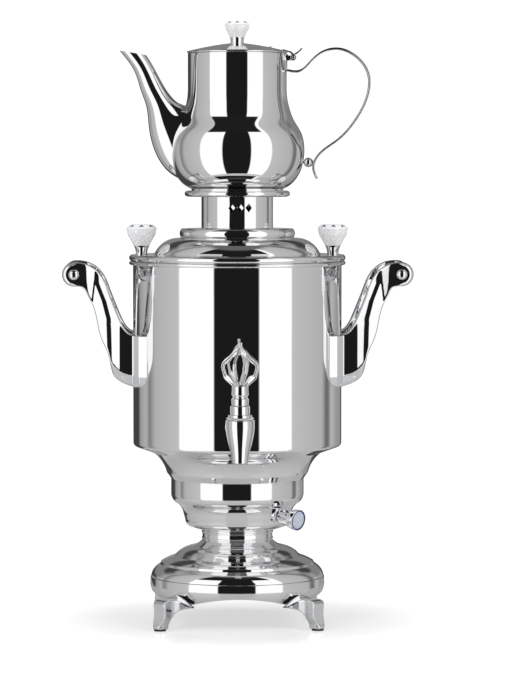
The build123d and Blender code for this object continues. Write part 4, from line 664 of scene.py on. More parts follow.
def shell():
    """Boiler wall with its rolled rim."""
    r, inner, rim_turn = boiler_radius, boiler_radius - SHEET, rim_radius - rim_bead
    outline = drawn(
        (r, flare_top + 0.02), (r, wall_top), (rim_turn, wall_top),
        ((rim_radius, wall_top + rim_bead), (rim_turn, rim_top), 14),
        (r, rim_top), (inner, rim_top - SHEET), (inner, flare_top + 0.02),
    )
    turned("shell", eased(outline, 0.25), "boiler", ("boiler_shell",))


# ------------ boiler lid
def band(radius, start, end):
    """Closed outline of an upright band of sheet."""
    inner = radius - SHEET
    return drawn((radius, start), (radius, end), (inner, end), (inner, start), (radius, start))


def lid():
    """Lift-off lid: a rolled edge, a flat, a dome, a drum-shaped ring and a short spigot."""
    r, z = rim_radius, lid_flat
    outline = drawn(
        (r - 1.2, lid_low), (r - 0.2, lid_low + 1.6), ((r - 0.2, lid_low + 3.6), (r - 1.8, z), 8),
        (dome_radius + 1.2, z), (dome_radius, z + 2.6), ((dome_radius - 6, z + 10.1), (57.5, dome_top), 24),
        (ring_radius - 1.6, dome_top), ((ring_radius, dome_top + 4.45), (ring_radius - 2, ring_top), 16),
        (mouth_radius, ring_top),
    )
    turned("lid", walled(eased(outline, 0.9)), "boiler_lid", ("boiler_lid",))
    spigot = band(boiler_radius - SHEET - 0.6, lid_low - 9, z - 1.3)
    turned("lid_spigot", eased(spigot, 0.2, closed=True), "boiler_lid", steps=SMALL)


def ferrule(name, centre, foot, head, z, rise, body, nodes):
    """Flared metal cup under a knob."""
    waist = (foot + 0.25 * (head - foot), z + 0.55 * rise)
    outline = drawn((0, z), (foot, z), (waist, (head, z + rise), 12), (0, z + rise))
    turned(name, eased(outline, 0.4), body, nodes, CAST, SMALL, Matrix.Translation((*centre, 0)))


KNOB_FACETS = 16


def knob(name, centre, foot, head, z, rise, body, nodes):
    """Flared crystal knob: rows of cut facets under a bevelled, flat crown."""
    # each row of corners: its radius, its share of the height and its turn in facets
    rows = (
        (foot, 0, 0), (0.62 * foot + 0.38 * head, 0.24, 0.5), (0.2 * foot + 0.8 * head, 0.5, 0),
        (0.98 * head, 0.72, 0.5), (head, 0.8, 0), (0.93 * head, 0.9, 0.5), (0.76 * head, 1, 0),
    )
    count = KNOB_FACETS
    points = [(0, 0, z)]
    for radius, share, shift in rows:
        points += [(radius * c, radius * s, z + rise * share) for c, s in around(count, shift)]
    top = len(points)
    points.append((0, 0, z + rise - 0.5))
    faces = [(0, 1 + (step + 1) % count, 1 + step) for step in range(count)]
    for row, (lower, upper) in enumerate(zip(rows, rows[1:])):
        here, over = 1 + row * count, 1 + (row + 1) * count
        for step in range(count):
            a, b = here + step, here + (step + 1) % count
            # the next row is turned by half a facet, one way or the other
            ahead = step if upper[2] > lower[2] else (step + 1) % count
            c, d = over + ahead, over + (ahead - 1) % count
            faces += [(a, b, c), (a, c, d)]
    crown = 1 + (len(rows) - 1) * count
    faces += [(crown + step, crown + (step + 1) % count, top) for step in range(count)]
    thing = piece(name, (points, faces), body, nodes, "clear_knob", 4, Matrix.Translation((*centre, 0)))
    # every second facet of the crown's bevel is painted dark: a painted reflection of the dark lid seen
    # through the crystal
    thing.data.materials.append(painted_crystal_reflection)
    for face in thing.data.polygons:
        x, y, height = face.center / MM
        turn = math.atan2(y - centre[1], x - centre[0]) % math.tau * count / math.tau
        on_bevel = height > z + 0.92 * rise and math.hypot(x - centre[0], y - centre[1]) > 0.7 * head
        if on_bevel and round(turn) % 2 == 0 and abs(turn - round(turn)) < 0.25:
            face.material_index = 1


def lid_knobs():
    """The two lid knobs on their ferrules."""
    knob_x = boiler_radius - 8.2
    foot = high("lid_ferrules").z
    top = high("lid_knob_right").z
    for side, name in ((-1, "left"), (1, "right")):
        centre = (side * knob_x, 0)
        nodes = ("lid_ferrules",) if side > 0 else ()
        ferrule(f"ferrule_{name}", centre, 5.4, 7.5, lid_flat, foot - lid_flat, "boiler_lid", nodes)
        knob(f"knob_{name}", centre, 7.5, 14.3, foot, top - foot, "boiler_lid", (f"lid_knob_{name}",))


# ------------ collar, plate and teapot
DIAMOND = ((-3.2, 0), (0, 4.3), (3.2, 0), (0, -4.3))
DIAMOND_RISE = 19.3
PLATE_VENTS, VENT_CIRCLE, VENT_RADIUS = 8, 24, 3


def collar():
    """Steam collar with its spigot and three diamond vents at the front and back."""
    spigot = mouth_radius - 0.6
    outline = drawn(
        (spigot, ring_top - 9), (spigot, collar_low), (collar_radius, collar_low),
        (collar_radius, collar_top - 0.02),
    )
    wall = turned("collar", walled(eased(outline, 0.25)), "teapot_stand", ("stand_collar",))
    points, faces = [], []
    for facing in (-90, 90):
        for step in (-1, 0, 1):
            turn = math.radians(facing + 3.6 + 13.7 * step)
            out = Vector((math.cos(turn), math.sin(turn), 0))
            side = Vector((-math.sin(turn), math.cos(turn), 0))
            faces += prism_faces(4, len(points))
            for reach in (25, 40):
                for across, up in DIAMOND:
                    rise = Vector((0, 0, collar_low + DIAMOND_RISE + up))
                    points.append(tuple(out * reach + side * across + rise))
    cut_by(wall, points, faces)


def plate():
    """Gallery plate with its rolled edge and its ring of vents."""
    bend, hole = plate_radius - 5.7, 12
    outer = plate_radius - 3 + 3 * math.cos(0.3)
    outline = drawn(
        (hole, collar_top), (bend, collar_top), ((outer, collar_top + 0.9), (bend, plate_top + 1), 26),
        (bend, plate_top), (hole, plate_top),
    )
    disc = turned("plate", eased(outline, 0.2, closed=True), "teapot_stand", ("stand_plate",))
    points, faces = [], []
    for out_x, out_y in around(PLATE_VENTS):
        x, y = VENT_CIRCLE * out_x, VENT_CIRCLE * out_y
        faces += prism_faces(32, len(points))
        for height in (collar_top - 2, plate_top + 2):
            points += [(x + VENT_RADIUS * c, y + VENT_RADIUS * s, height) for c, s in around(32)]
    cut_by(disc, points, faces)


POT_SIDE = (
    (43.5, 0), (48.4, 2.6), (53.2, 6.8), (59, 15.8), (62.1, 26), (63, 38),
    (59.7, 53.2), (53.1, 64.5), (48.9, 75.8), (46.9, 85), (46.3, 92.7),
)


def pot_outline():
    """Outer line of the teapot's body, from its foot to its rim."""
    side = [(r, pot_floor + h) for r, h in POT_SIDE]
    return path(curve(side, 10), line((pot_neck_radius, pot_neck_low), (pot_neck_radius, pot_top)))


def pot():
    """Teapot body: bulb and neck in one drawn sheet, with its foot ring."""
    outline = path(line((0, pot_floor), (43.5, pot_floor)), pot_outline())
    inner = [(max(r, 0), z) for r, z in walled(outline)[len(outline):]]
    turned("pot", eased(path(outline, inner), 0.25), "teapot", ("teapot_body",))
    turned("pot_foot", eased(band(43, pot_low, pot_floor + 0.3), 0.2, closed=True), "teapot")


# ------------ side handles
# an arm's face is drawn by reach outside the boiler and by drop below the scroll's top
ARM_Y, ARM_HALF = 36, 6.5
SCROLL_R = 11.2
SCROLL_REACH = 54.1
ARM_ROOT = -16
ARM_UPPER = (
    (-1.6, 67.8), (4, 65), (10.5, 55.7), (16, 42.7), (22, 27.2), (27, 15),
    (37, 4.4), (45.5, 0.9), (54.1, 0),
)
ARM_LOWER = (
    (54.1, 22.4), (46.4, 23.4), (42, 29.7), (36.5, 40.9), (32.8, 55.7), (29, 70.6),
    (22.5, 85.5), (19.8, 98.5), (17, 105.9), (13, 109.9), (6.8, 113.3), (-1.6, 116.1),
)
# the crest that runs up the arm, the valley before the scroll and the edge of the scroll's flat
CREST = (
    (0, 32), (12, 33.2), (18.6, 32.9), (27, 29.6), (35.4, 26.2), (52.1, 21.9), (80, 21.2),
    (120, 20.8),
)
VALLEY = ((0, 34), (15.8, 34.8), (33.8, 37), (50, 37.6), (120, 37.6))
SCROLL_FLAT = ((0, 43.4), (18.8, 42.5), (33.8, 40.5), (120, 40))
ARM_TILT = math.tan(math.radians(15.5))
PANEL_EDGE = 11.4
SCROLL_END = 62  # the drop at which the scroll's face gives way to the root's
FLARE_STEEP, FLARE_SOFT, FLARE_BEND = 0.72, 0.33, 6.4
RIM_STEP, GRID_STEP = 1.4, 0.72


def arm_outline():
    """Closed outline of an arm, from its upper root round the scroll to its lower root."""
    tip = (SCROLL_REACH + SCROLL_R, SCROLL_R)
    scroll = arc((SCROLL_REACH, 0), tip, (SCROLL_REACH, 2 * SCROLL_R), 36)
    return path([(ARM_ROOT, 67.8)], curve(ARM_UPPER, 14), scroll, curve(ARM_LOWER, 14), [(ARM_ROOT, 116.1)])


def soft_step(value, start, end):
    """Smooth 0 to 1 between two values."""
    t = np.clip((value - start) / (end - start), 0, 1)
    return t * t * (3 - 2 * t)


def soft_low(first, second, width):
    """The lower of two heights, rounded where they meet."""
    gap = np.clip(0.5 + 0.5 * (second - first) / width, 0, 1)
    return second * (1 - gap) + first * gap - width * gap * (1 - gap)


def arm_relief(reach, drop):
    """Height of an arm's face over its flat, before its edge is rounded."""
    crest, valley, flat = (np.interp(drop, *zip(*edge)) for edge in (CREST, VALLEY, SCROLL_FLAT))
    inner = (reach - PANEL_EDGE) * ARM_TILT
    valley_height = (valley - flat) * ARM_TILT
    crest_height = (crest - PANEL_EDGE) * ARM_TILT
    blend = soft_step(drop, SCROLL_END, 40)
    crest_height = crest_height * (1 - blend) + (valley_height + (valley - crest) * ARM_TILT) * blend
    rise = crest_height + (reach - crest) * ARM_TILT
    rise = np.where(drop > 56, np.minimum(rise, inner), rise)
    fall = crest_height - (reach - crest) * ARM_TILT
    body = soft_low(rise, fall, 1.45)
    scroll = soft_low((reach - flat) * ARM_TILT, np.zeros_like(reach), 0.16)
    upper = -soft_low(-body, -scroll, 0.35)
    face = np.where(drop < SCROLL_END, upper, body)
    # the flat of the foot: level until the face starts to rise
    foot = soft_step(drop, 50, 64)
    level = -soft_low(-body, np.zeros_like(reach), 0.3)
    face = face * (1 - foot) + np.where(reach < 20, level, body) * foot
    # the root flares to the wall
    out = np.clip(-reach, 0, None)
    root = FLARE_STEEP * np.minimum(out, FLARE_BEND) + FLARE_SOFT * np.clip(out - FLARE_BEND, 0, None)
    return face + root * soft_step(drop, SCROLL_END, 68)


def arm_rounding(reach, drop, gap):
    """How far the front face falls back near its edge, by distance from the outline."""
    foot = soft_step(drop, 88, 100)
    head = soft_step(reach, 50, 57) * soft_step(drop, 34, 26)
    wide = 1.5 + 1.8 * foot + 3.2 * head
    deep = 1.5 + 1.4 * foot + 3 * head
    share = np.clip(1 - gap / wide, 0, 1)
    bevel_width = 10.5 * np.clip((drop - 90) / 15, 0, 1)
    bevel = 0.42 * -soft_low(gap - bevel_width, np.zeros_like(gap), 0.5)
    return deep * (1 - np.sqrt(np.clip(1 - share**2, 0, 1))) + bevel


def arm_mesh():
    """Points and faces of the right front arm in millimetres: a relief face, a side and a back."""
    outline = np.array(arm_outline())
    steps = np.linalg.norm(np.diff(outline, axis=0, append=outline[:1]), axis=1)
    dense = []
    for i, point in enumerate(outline):
        after = outline[(i + 1) % len(outline)]
        count = max(1, int(steps[i] / RIM_STEP))
        dense += [point + (after - point) * k / count for k in range(count)]
    dense = np.array(dense)
    rim = np.array([p for p in dense if not (p[0] < ARM_ROOT + 0.01 and 67.9 < p[1] < 116)])

    def gap_to_rim(points):
        """Distance to the outline, without its side in the wall."""
        best = np.full(len(points), 1e9)
        for a, b in zip(rim, np.roll(rim, -1, axis=0)):
            if max(a[0], b[0]) < -15:
                continue
            run = b - a
            t = np.clip(((points - a) @ run) / max(run @ run, 1e-12), 0, 1)
            best = np.minimum(best, np.linalg.norm(points - (a + t[:, None] * run), axis=1))
        return best

    # rings of points beside the outline, then a grid
    inner = []
    way = np.roll(dense, -1, axis=0) - np.roll(dense, 1, axis=0)
    side = np.stack((-way[:, 1], way[:, 0]), axis=1)
    side /= np.maximum(np.linalg.norm(side, axis=1)[:, None], 1e-9)
    for offset in (0.07, 0.28, 0.62, 1.1):
        ring = dense + side * offset
        if gap_to_rim(ring[:1])[0] > offset + 0.5:
            ring = dense - side * offset
        keep = gap_to_rim(ring) > offset * 0.96
        inner.extend(ring[keep & (ring[:, 0] > -15.5)].tolist())
    columns, rows = np.arange(-15.5, 66, GRID_STEP), np.arange(0.3, 116.5, GRID_STEP)
    grid = np.array([(x, y) for x in columns for y in rows])
    inner.extend(grid[gap_to_rim(grid) > 1.55].tolist())
    count = len(dense)
    points2 = [Vector(p) for p in dense] + [Vector(p) for p in inner]
    edges = [(i, (i + 1) % count) for i in range(count)]
    verts, _, faces, _, _, _ = delaunay_2d_cdt(points2, edges, [], 1, 1e-6)
    flat = np.array([(v.x, v.y) for v in verts])
    fall = arm_rounding(flat[:, 0], flat[:, 1], gap_to_rim(flat))
    relief = arm_relief(flat[:, 0], flat[:, 1])
    front_y = -(ARM_Y + ARM_HALF) + fall - relief
    back_y = -(ARM_Y - ARM_HALF) - np.minimum(fall, 1.2) + 1.15 * relief
    top_z = high("handle_arm_right_front").z
    total = len(flat)

    def placed(y):
        """The face's points at depths y, kept outside the boiler's wall."""
        wall = np.sqrt(np.maximum((boiler_radius - 0.4) ** 2 - y**2, 0))
        return np.stack((np.maximum(boiler_radius + flat[:, 0], wall), y, top_z - flat[:, 1]), axis=1)

    points = np.concatenate((placed(front_y), placed(back_y))).tolist()
    sides = [(i, (i + 1) % count, (i + 1) % count + total, i + total) for i in range(count)]
    fronts = [tuple(face) for face in faces]
    backs = [tuple(i + total for i in reversed(face)) for face in faces]
    return points, fronts + backs + sides


def arms():
    """Four cast arms: one shape, mirrored to each side and row."""
    points, faces = arm_mesh()
    for flip_x, side in ((1, "right"), (-1, "left")):
        for flip_y, row in ((1, "front"), (-1, "rear")):
            moved = [(x * flip_x, y * flip_y, z) for x, y, z in points]
            skin = faces if flip_x * flip_y > 0 else [tuple(reversed(face)) for face in faces]
            node = f"handle_arm_{side}_{row}"
            piece(f"arm_{side}_{row}", (moved, skin), "boiler", (node,), CAST, 60)


def grips():
    """Barrel grips between the arms and the domed screws that hold them."""
    centre_x = boiler_radius + SCROLL_REACH
    centre_z = high("handle_arm_right_front").z - SCROLL_R
    half = ARM_Y - ARM_HALF
    barrel = drawn(
        (0, -half), (6.2, -half), ((7.5, -half + 0.5), (7.9, -half + 1.6), 6),
        ((9.2, 0), (7.9, half - 1.6), 30), ((7.5, half - 0.5), (6.2, half), 6), (0, half),
    )
    dome = drawn(
        (0, -0.5), (4.6, -0.5), ((4.9, -0.1), (4.6, 0.35), 4), ((2.9, 1.9), (1.5, 2.35), 10),
        (1.5, 2.25), (1.35, 1.2), (0, 1),
    )
    for side, name in ((-1, "left"), (1, "right")):
        nodes = ("handle_grips", "grip_screws") if side > 0 else ()
        place = along((side * centre_x, 0, centre_z), (0, 1, 0))
        turned(f"grip_{name}", barrel, "boiler", nodes, CAST, SMALL, place)
        for end, row in ((-1, "front"), (1, "rear")):
            place = along((side * centre_x, end * (ARM_Y + ARM_HALF), centre_z), (0, end, 0))
            turned(f"grip_screw_{name}_{row}", dome, "boiler", (), CAST, TINY, place)


# ------------ spout, strap and hinge
# the spout's centre line as x and height over the pot's floor, its half sizes and the way it runs
SPOUT = (
    (-45, 41.3, 36, 19, -1, 0),
    (-57.4, 47.1, 32.2, 18, -0.977, 0.213),
    (-65, 57, 25.6, 16.5, -0.884, 0.468),
    (-72, 78.5, 13.6, 13.2, -0.42, 0.91),
    (-79.3, 93.4, 10.9, 10.6, -0.33, 0.94),
    (-89, 114.8, 8.9, 8.6, -0.58, 0.815),
    (-103, 134, 8.6, 8.4, -0.6, 0.8),
)
SPOUT_STEPS = 72
SPOUT_TIP, SPOUT_LIP = (-109.5, 129), (-87.7, 125.3)


def spout_rings(thinner):
    """Smooth rings of the spout, drawn in by an amount."""
    rings = []
    for x, z, tall, wide, way_x, way_z in curve(SPOUT, 10):
        scale = math.hypot(way_x, way_z)
        way_x, way_z = way_x / scale, way_z / scale
        ring = [((tall - thinner) * c, (wide - thinner) * s) for c, s in around(SPOUT_STEPS)]
        rings.append([(x - way_z * up, across, pot_floor + z + way_x * up) for up, across in ring])
    return rings


def spout():
    """Swan-neck spout: a drawn tube, open at its slanted mouth and cut to the bulb at its root."""
    mesh = mesh_of("spout", *ring_faces(spout_rings(0) + spout_rings(SHEET)[::-1]))
    tube = bmesh.new()
    tube.from_mesh(mesh)
    bmesh.ops.recalc_face_normals(tube, faces=tube.faces)
    tip, lip = (Vector((x, 0, pot_floor + z)) for x, z in (SPOUT_TIP, SPOUT_LIP))
    run = (lip - tip).normalized()
    cut = bmesh.ops.bisect_plane(
        tube,
        geom=tube.verts[:] + tube.edges[:] + tube.faces[:],
        plane_co=tip * MM,
        plane_no=(-run.z, 0, run.x),
        clear_outer=True,
    )
    open_edges = [item for item in cut["geom_cut"] if isinstance(item, bmesh.types.BMEdge)]
    bmesh.ops.bridge_loops(tube, edges=open_edges)
    tube.to_mesh(mesh)
    tube.free()
    thing = finished("spout", mesh, "teapot", ("teapot_spout",), STEEL, 40)
    core = [(0, pot_floor - 1)] + [(r - 0.35, z) for r, z in pot_outline()] + [(0, pot_top + 4)]
    cut_by(thing, *turned_skin(core))


STRAP = (
    (45.5, 111.3), (58.5, 110.4), (68.2, 118.6), (80, 128.2), (93.4, 131.1), (111.3, 124),
    (123, 107.4), (122.2, 87.5), (111.3, 65.1), (93.4, 45.2), (77.1, 32.6), (71.4, 21), (74.8, 9.6),
)


def strap():
    """Strap handle: a flat band with rounded edges, bowed like an ear, and the ball it rests on."""
    half_wide, half_thick, soft = 7, 1.1, 0.8
    section = []
    for cx, cz, start in ((1, 1, 0), (-1, 1, 90), (-1, -1, 180), (1, -1, 270)):
        for step in range(5):
            turn = math.radians(start + 22.5 * step)
            across = cx * (half_wide - soft) + soft * math.cos(turn)
            section.append((across, cz * (half_thick - soft) + soft * math.sin(turn)))
    rings = []
    run = np.array(curve(STRAP, 40))[3:]  # the first steps would stand inside the neck
    last = len(run) - 1
    root, tail = 24, 18  # steps over which the band widens, and over which its end is rounded
    for i, (x, z) in enumerate(run):
        way = run[min(i + 1, last)] - run[max(i - 1, 0)]
        way = way / np.linalg.norm(way)
        narrow = 1 if i > root else 0.86 + 0.14 * i / root
        if i > last - tail:
            narrow = math.sqrt(max(0.05, 1 - ((i - last + tail) / (tail + 1)) ** 2))
        rings.append([(x - way[1] * t, w * narrow, pot_floor + z + way[0] * t) for w, t in section])
    piece("strap", rod(rings), "teapot", ("teapot_strap",), sharp=60)
    belly = [(4.5 * math.cos(a), 4.6 * math.sin(a)) for a in np.linspace(-1.35, 1.35, 31)]
    place = along((66.7, 0, pot_floor + 24.8), (1, 0, 0))
    turned("strap_ball", [(0, -5.6), *belly, (0, 5.6)], "teapot", steps=SMALL, place=place)


def hinge():
    """Bracket leaf on the neck, knuckles and pin."""
    x, z = hinge_x, hinge_z
    knuckle = drawn(
        (0, 0), (2.2, 0), ((2.75, 0.15), (2.9, 0.7), 5), (2.9, 3.9), ((2.75, 4.45), (2.2, 4.6), 5), (0, 4.6)
    )
    leaf = [
        (44.9, z - 10.2), (46.9, z - 10.2), (47, z - 3.4), (49.6, z - 2.6), (51.6, z - 2.2),
        (51.6, z + 1.6), (48.3, z + 1.8), (47.2, z + 3), (44.9, z + 3),
    ]
    for end, row in ((-1, "front"), (1, "rear")):
        nodes = ("hinge_bracket",) if end < 0 else ()
        prism(f"hinge_leaf_{row}", leaf, 2.2, "teapot", nodes, middle=end * 4.7, round_by=0.7)
        place = along((x, end * 2.45, z), (0, end, 0))
        turned(f"hinge_knuckle_{row}", knuckle, "teapot", steps=TINY, place=place)
    web = [(44.9, z - 10.2), (46.8, z - 10.2), (46.8, z - 4), (44.9, z - 4)]
    prism("hinge_web", web, 3, "teapot")
    pin = drawn(
        (0, 0), (1, 0), ((1.5, 0.25), (1.7, 0.8), 4), (1.25, 1), (1.25, 14.6), ((1, 15.2), (0, 15.4), 5)
    )
    place = along((x, -7.8, z), (0, 1, 0))
    turned("hinge_pin_rod", pin, "teapot", ("hinge_pin",), steps=32, place=place)


def teapot_lid():
    """Low domed lid with its spigot, hinge leaf, thumb lever, rivet, ferrule and knob."""
    rim = pot_neck_radius + 0.9
    z, top = pot_lid_low, pot_lid_top
    outline = drawn(
        (rim - 0.9, z), (rim, z + 0.5), ((rim - 0.1, z + 1.4), (rim - 1.2, z + 2.1), 6),
        ((0.6 * rim, z + 6), (8, top), 40), (2, top), (2, top - SHEET), (8, top - SHEET),
        ((0.6 * rim - 0.2, z + 5), (41.8, z + 1.9), 30),
        (41.8, z - 6), (42.8, z - 6), (42.8, z + 0.9), (rim - 0.9, z + 0.9), (rim - 0.9, z),
    )
    turned("pot_lid", eased(outline, 0.25, closed=True), "teapot_lid", ("teapot_lid",))
    x, hz = hinge_x, hinge_z
    knuckle = drawn(
        (0, -2.1), (2.3, -2.1), ((2.8, -1.9), (2.9, -1.4), 4), (2.9, 1.4), ((2.8, 1.9), (2.3, 2.1), 4),
        (0, 2.1),
    )
    place = along((x, 0, hz), (0, 1, 0))
    turned("lid_knuckle", knuckle, "teapot_lid", steps=TINY, place=place)
    leaf = [
        (42.4, z + 2.6), (49, z + 0.8), (50.6, z - 0.6), (50.9, hz + 1.2), (54, hz + 1.6),
        (53.4, hz + 3.2), (50.8, z + 1.7), (42.4, z + 4),
    ]
    prism("lid_leaf", leaf, 2.1, "teapot_lid")
    lever = (
        (-0.6, 2.9), (1.4, 2.3), (3.6, 3.4), (6.2, 5.3), (8.6, 7.9), (8.2, 9), (7.2, 8.7), (5, 6.3),
        (2.6, 4.6),
    )
    prism("lid_lever", [(x + out, hz + up) for out, up in lever], 5.6, "teapot_lid")
    rivet = drawn((0, -0.6), (1.7, -0.6), ((1.3, 0.5), (0, 0.95), 8))
    place = Matrix.Translation((31, 0, z + 5.5))
    turned("lid_rivet", rivet, "teapot_lid", steps=32, place=place)
    foot = high("teapot_lid_ferrule").z
    rise = high("teapot_lid_knob").z - foot
    ferrule("pot_ferrule", (0, 0), 6.2, 6.7, top, foot - top, "teapot_lid", ("teapot_lid_ferrule",))
    knob("pot_knob", (0, 0), 6.8, 11.7, foot, rise, "teapot_lid", ("teapot_lid_knob",))


# ------------ tap
def tap():
    """Tap body with a beaded shoulder, its barrel and flange, and the gland."""
    mouth, port = nozzle_mouth, tap_port
    shoulder = port + 8.3
    nozzle = drawn(
        (6.4, mouth), (7.4, mouth),
        ([(8.5, mouth + 8.7), (10, port - 15.3), (12.1, port - 6), (13, port + 0.7)], 12),
        (13, shoulder - 0.9), ((12.7, shoulder - 0.2), (12, shoulder), 5),
        (10.7, shoulder + 0.2), (10.7, tap_rim), (7.25, tap_rim),
        (5.85, port - 12), (5, port - 12.3), (5, mouth + 5), (6.4, mouth),
    )
    place = Matrix.Translation((0, tap_y, 0))
    turned("tap_nozzle", eased(nozzle, 0.3, closed=True), "boiler", ("tap_body",), CAST, place=place)
    beads = []
    for step, (c, s) in enumerate(around(FINE)):
        swell = 0.55 * abs(math.sin(20 * (math.tau * step / FINE)))
        section = []
        for a in np.linspace(-math.pi / 2, math.pi / 2, 9):
            rise = shoulder + 1.35 + (0.85 + 0.35 * swell) * math.sin(a)
            section.append((10.9 + (1 + swell) * math.cos(a), rise))
        section += [(10.6, shoulder + 2.4), (10.6, shoulder + 0.3)]
        beads.append([(r * c, r * s, z) for r, z in section])
    piece("tap_beading", ring_faces(beads), "boiler", (), CAST, 50, place)
    face, tip = boiler_radius + 2.5, 120.6
    barrel = drawn(
        (4.5, tip), (8, tip), (8, face + 5), ((8.6, face + 3.9), (9.8, face + 3.4), 6),
        (12.4, face + 3.1), ((13, face + 2.6), (13, face + 2), 4),
        (13, face), (7, face), (7, face - 14), (4.5, face - 14), (4.5, tip),
    )
    out = along((0, 0, port), (0, -1, 0))
    turned("tap_barrel", eased(barrel, 0.25, closed=True), "boiler", (), CAST, SMALL, place=out)
    rim, top = tap_rim, gland_top
    gland = drawn(
        (4.65, rim), (8.4, rim), ((8.7, rim + 0.1), (8.8, rim + 0.5), 4), (8.8, top - 0.9),
        ((8.5, top - 0.2), (7.8, top), 5), (4.65, top), (4.65, rim),
    )
    turned("tap_gland_nut", gland, "boiler", ("tap_gland",), CAST, SMALL, place=place)


# a rib of the key by reach from the tap's axis and height over the stem's top: outer line, then inner
RIB_OUTER = (
    (6.6, -0.4), (9.4, 1.9), (12.6, 4.5), (15.4, 7.3), (16.3, 10.4), (17.3, 14), (18, 17.6),
    (17.2, 21), (14.9, 24.2), (11.6, 26.8), (8.8, 28.9), (6, 32.4), (2.4, 34.9),
)
RIB_INNER = (
    (3.2, 0.3), (4.6, 3.2), (7.1, 7.4), (9.7, 9.9), (12.5, 10.9), (13.6, 13.2), (14.5, 16.3),
    (14.3, 19), (11.6, 20.9), (9, 23.2), (7.2, 25.6), (3.6, 27.2), (0.8, 30),
)
RIB_STEPS = 28
RIB_THICK, RIB_TAPER, TAPER_STEPS = 1.1, 0.3, 10
RIB_SQUARE = 0.75  # under 1 squares the band's section off
SLIM_RIB = 0.45
GROOVE_DEEP, GROOVE_WIDE = 0.45, 0.22
KEY_TWIST = 70
stem_top = key_low + 17.2


def key_rib(turn, slim):
    """One leaf of the key's cage: a rounded band between its outer and inner lines, with a groove."""
    outer, inner = np.array(curve(RIB_OUTER, 8)), np.array(curve(RIB_INNER, 8))
    rings = []
    taper = len(outer) - 1 - TAPER_STEPS
    for i, (far, near) in enumerate(zip(outer, inner)):
        half = (far - near) / 2 * slim
        middle = far - half
        thick = RIB_THICK if i < taper else RIB_THICK - RIB_TAPER * (i - taper) / TAPER_STEPS
        ring = []
        for c, s in around(RIB_STEPS):
            across, depth = (math.copysign(abs(f) ** RIB_SQUARE, f) for f in (c, s))
            groove = GROOVE_DEEP * math.exp(-((across / GROOVE_WIDE) ** 2)) * (abs(depth) > 0.5)
            reach, rise = middle + half * across
            side = (thick * depth) - math.copysign(groove, depth)
            ring.append((
                reach * math.cos(turn) - side * math.sin(turn),
                reach * math.sin(turn) + side * math.cos(turn),
                stem_top + rise,
            ))
        rings.append(ring)
    return rod(rings)


def key():
    """Key of the tap: a grooved stem, four scrolled ribs and a spire."""
    place = Matrix.Translation((0, tap_y, 0))
    points, faces = [], []
    for quarter in range(4):
        more, skin = key_rib(math.radians(KEY_TWIST + 90 * quarter), 1 if quarter % 2 else SLIM_RIB)
        faces += [tuple(i + len(points) for i in face) for face in skin]
        points += more
    piece("key_cage", (points, faces), "tap_valve", (), CAST, 50, place)
    z, top = key_low, stem_top
    stem = drawn(
        (4.7, z), (7.1, z), ((7.5, z + 0.2), (7.6, z + 0.7), 4),
        ([
            (7.7, z + 3.6), (7.4, z + 6.4), (6.3, z + 7.7), (7.2, z + 8.9), (7.5, z + 12), (7.4, top - 0.4),
        ], 8),
        ((7.1, top + 0.5), (6.3, top + 0.9), 5), (4.7, top + 0.9), (4.7, z),
    )
    turned("key_stem", stem, "tap_valve", ("tap_key",), CAST, SMALL, place=place)
    spire = [
        (0, top + 28.2), (1.7, top + 28.6), (2.5, top + 30.4), (2.1, top + 32.8), (1.6, top + 35),
        (1.9, top + 37.4), (1.7, top + 39.6), (1.1, key_top - 3.4), (0, key_top - 2.9),
    ]
    turned("key_spire", curve(spire, 6), "tap_valve", (), CAST, TINY, place)


# ------------ thermostat knob
KNOB_TURN, KNOB_DIP = math.radians(-43), math.radians(7)
KNOB_WAY = Vector((
    math.cos(KNOB_TURN) * math.cos(KNOB_DIP), math.sin(KNOB_TURN) * math.cos(KNOB_DIP), -math.sin(KNOB_DIP)
))
MARK_TURN = math.radians(28)


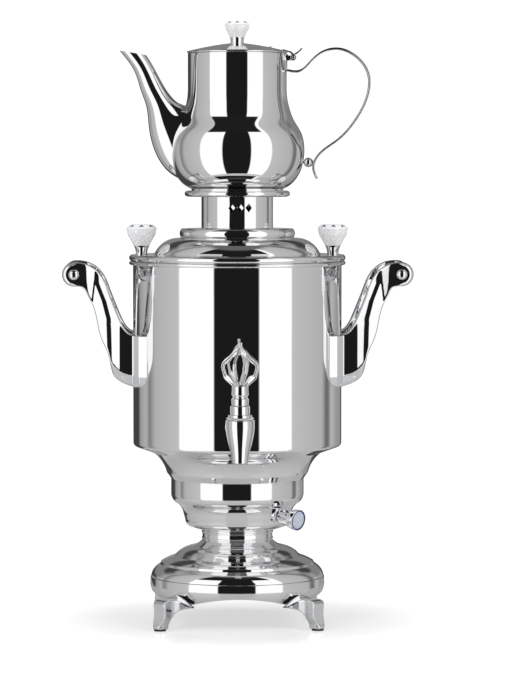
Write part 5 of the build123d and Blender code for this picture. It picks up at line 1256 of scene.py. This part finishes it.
def thermostat():
    """Thermostat's knob: escutcheon, flared shell, blue ring, pilot lens and index dot."""
    waist = 50.9
    foot = Vector((waist * math.cos(KNOB_TURN), waist * math.sin(KNOB_TURN), neck_top + 16.6))
    place = along(foot, KNOB_WAY)
    face = 3.3
    plate_line = drawn(
        (4.85, -3.2), (9.2, -3.2), (9.2, face - 1.2), ((8.8, face - 0.35), (8, face), 6),
        (4.85, face), (4.85, -3.2),
    )
    turned("escutcheon", plate_line, "boiler", ("knob_escutcheon",), CAST, SMALL, place=place)
    body, back = "thermostat_knob", face + 0.4
    front = back + 22
    shell_line = drawn(
        (3, back), (6.1, back), ((6.6, back + 0.2), (6.8, back + 0.8), 4),
        ([(7.2, back + 5), (8.3, back + 12), (9.5, back + 18), (9.95, front - 0.9)], 8),
        ((9.9, front - 0.2), (9.35, front), 4), (9.3, front - 2), (0, front - 2),
        (0, back + 13), (3, back + 13), (3, back),
    )
    turned("dial_shell", shell_line, body, ("knob_shell",), CAST, 16, place=place, sharp=15)
    ring_line = drawn(
        (8.15, front - 2), (9.25, front - 2), (9.25, front - 0.3),
        ((8.75, front + 0.25), (8.15, front - 0.3), 6),
    )
    turned("dial_ring", ring_line, body, ("knob_ring",), "blue_trim", SMALL, place=place)
    lens_line = drawn(
        (0, front - 2), (8.1, front - 2), (8.1, front - 0.5), ((4.4, front + 0.45), (0, front + 0.6), 14)
    )
    turned("dial_lens", lens_line, body, ("knob_lens",), "pilot_lens", SMALL, place)
    mark = drawn((0, -0.3), (0.9, -0.3), ((0.7, 0.1), (0, 0.2), 4))
    up = Vector((-KNOB_WAY.x * KNOB_WAY.z, -KNOB_WAY.y * KNOB_WAY.z, 1 - KNOB_WAY.z**2)).normalized()
    outward = Matrix.Rotation(MARK_TURN, 4, KNOB_WAY) @ up
    place = along(foot + KNOB_WAY * (back + 17) + outward * 9.2, outward, KNOB_WAY)
    turned("dial_mark", mark, body, (), "dark_plastic", 24, place)


def feet():
    """Cast feet: each is its CAD form, remeshed and softened so that its edges are round."""
    for end in ("front_left", "front_right", "rear_left", "rear_right"):
        name, node = f"cast_foot_{end}", f"foot_{end}"
        thing = added(name, frame["nodes"][node].data.copy())
        mesh = shaped(
            thing,
            ("REMESH", {"mode": "VOXEL", "voxel_size": 0.45 * MM}),
            ("SMOOTH", {"factor": 0.5, "iterations": 8}),
        )
        bpy.data.objects.remove(thing)
        mesh.name = name
        mesh.materials.clear()
        finished(name, mesh, "boiler", (node,), CAST, 180)


dress_rest()
for make in (
    skirt, bell, neck, cup, flare, shell, lid, lid_knobs, collar, plate, pot, arms, grips, spout, strap,
    hinge, teapot_lid, tap, key, thermostat, feet, stage_set, camera_set,
):
    make()

bpy.context.scene.view_settings.view_transform = "Standard"
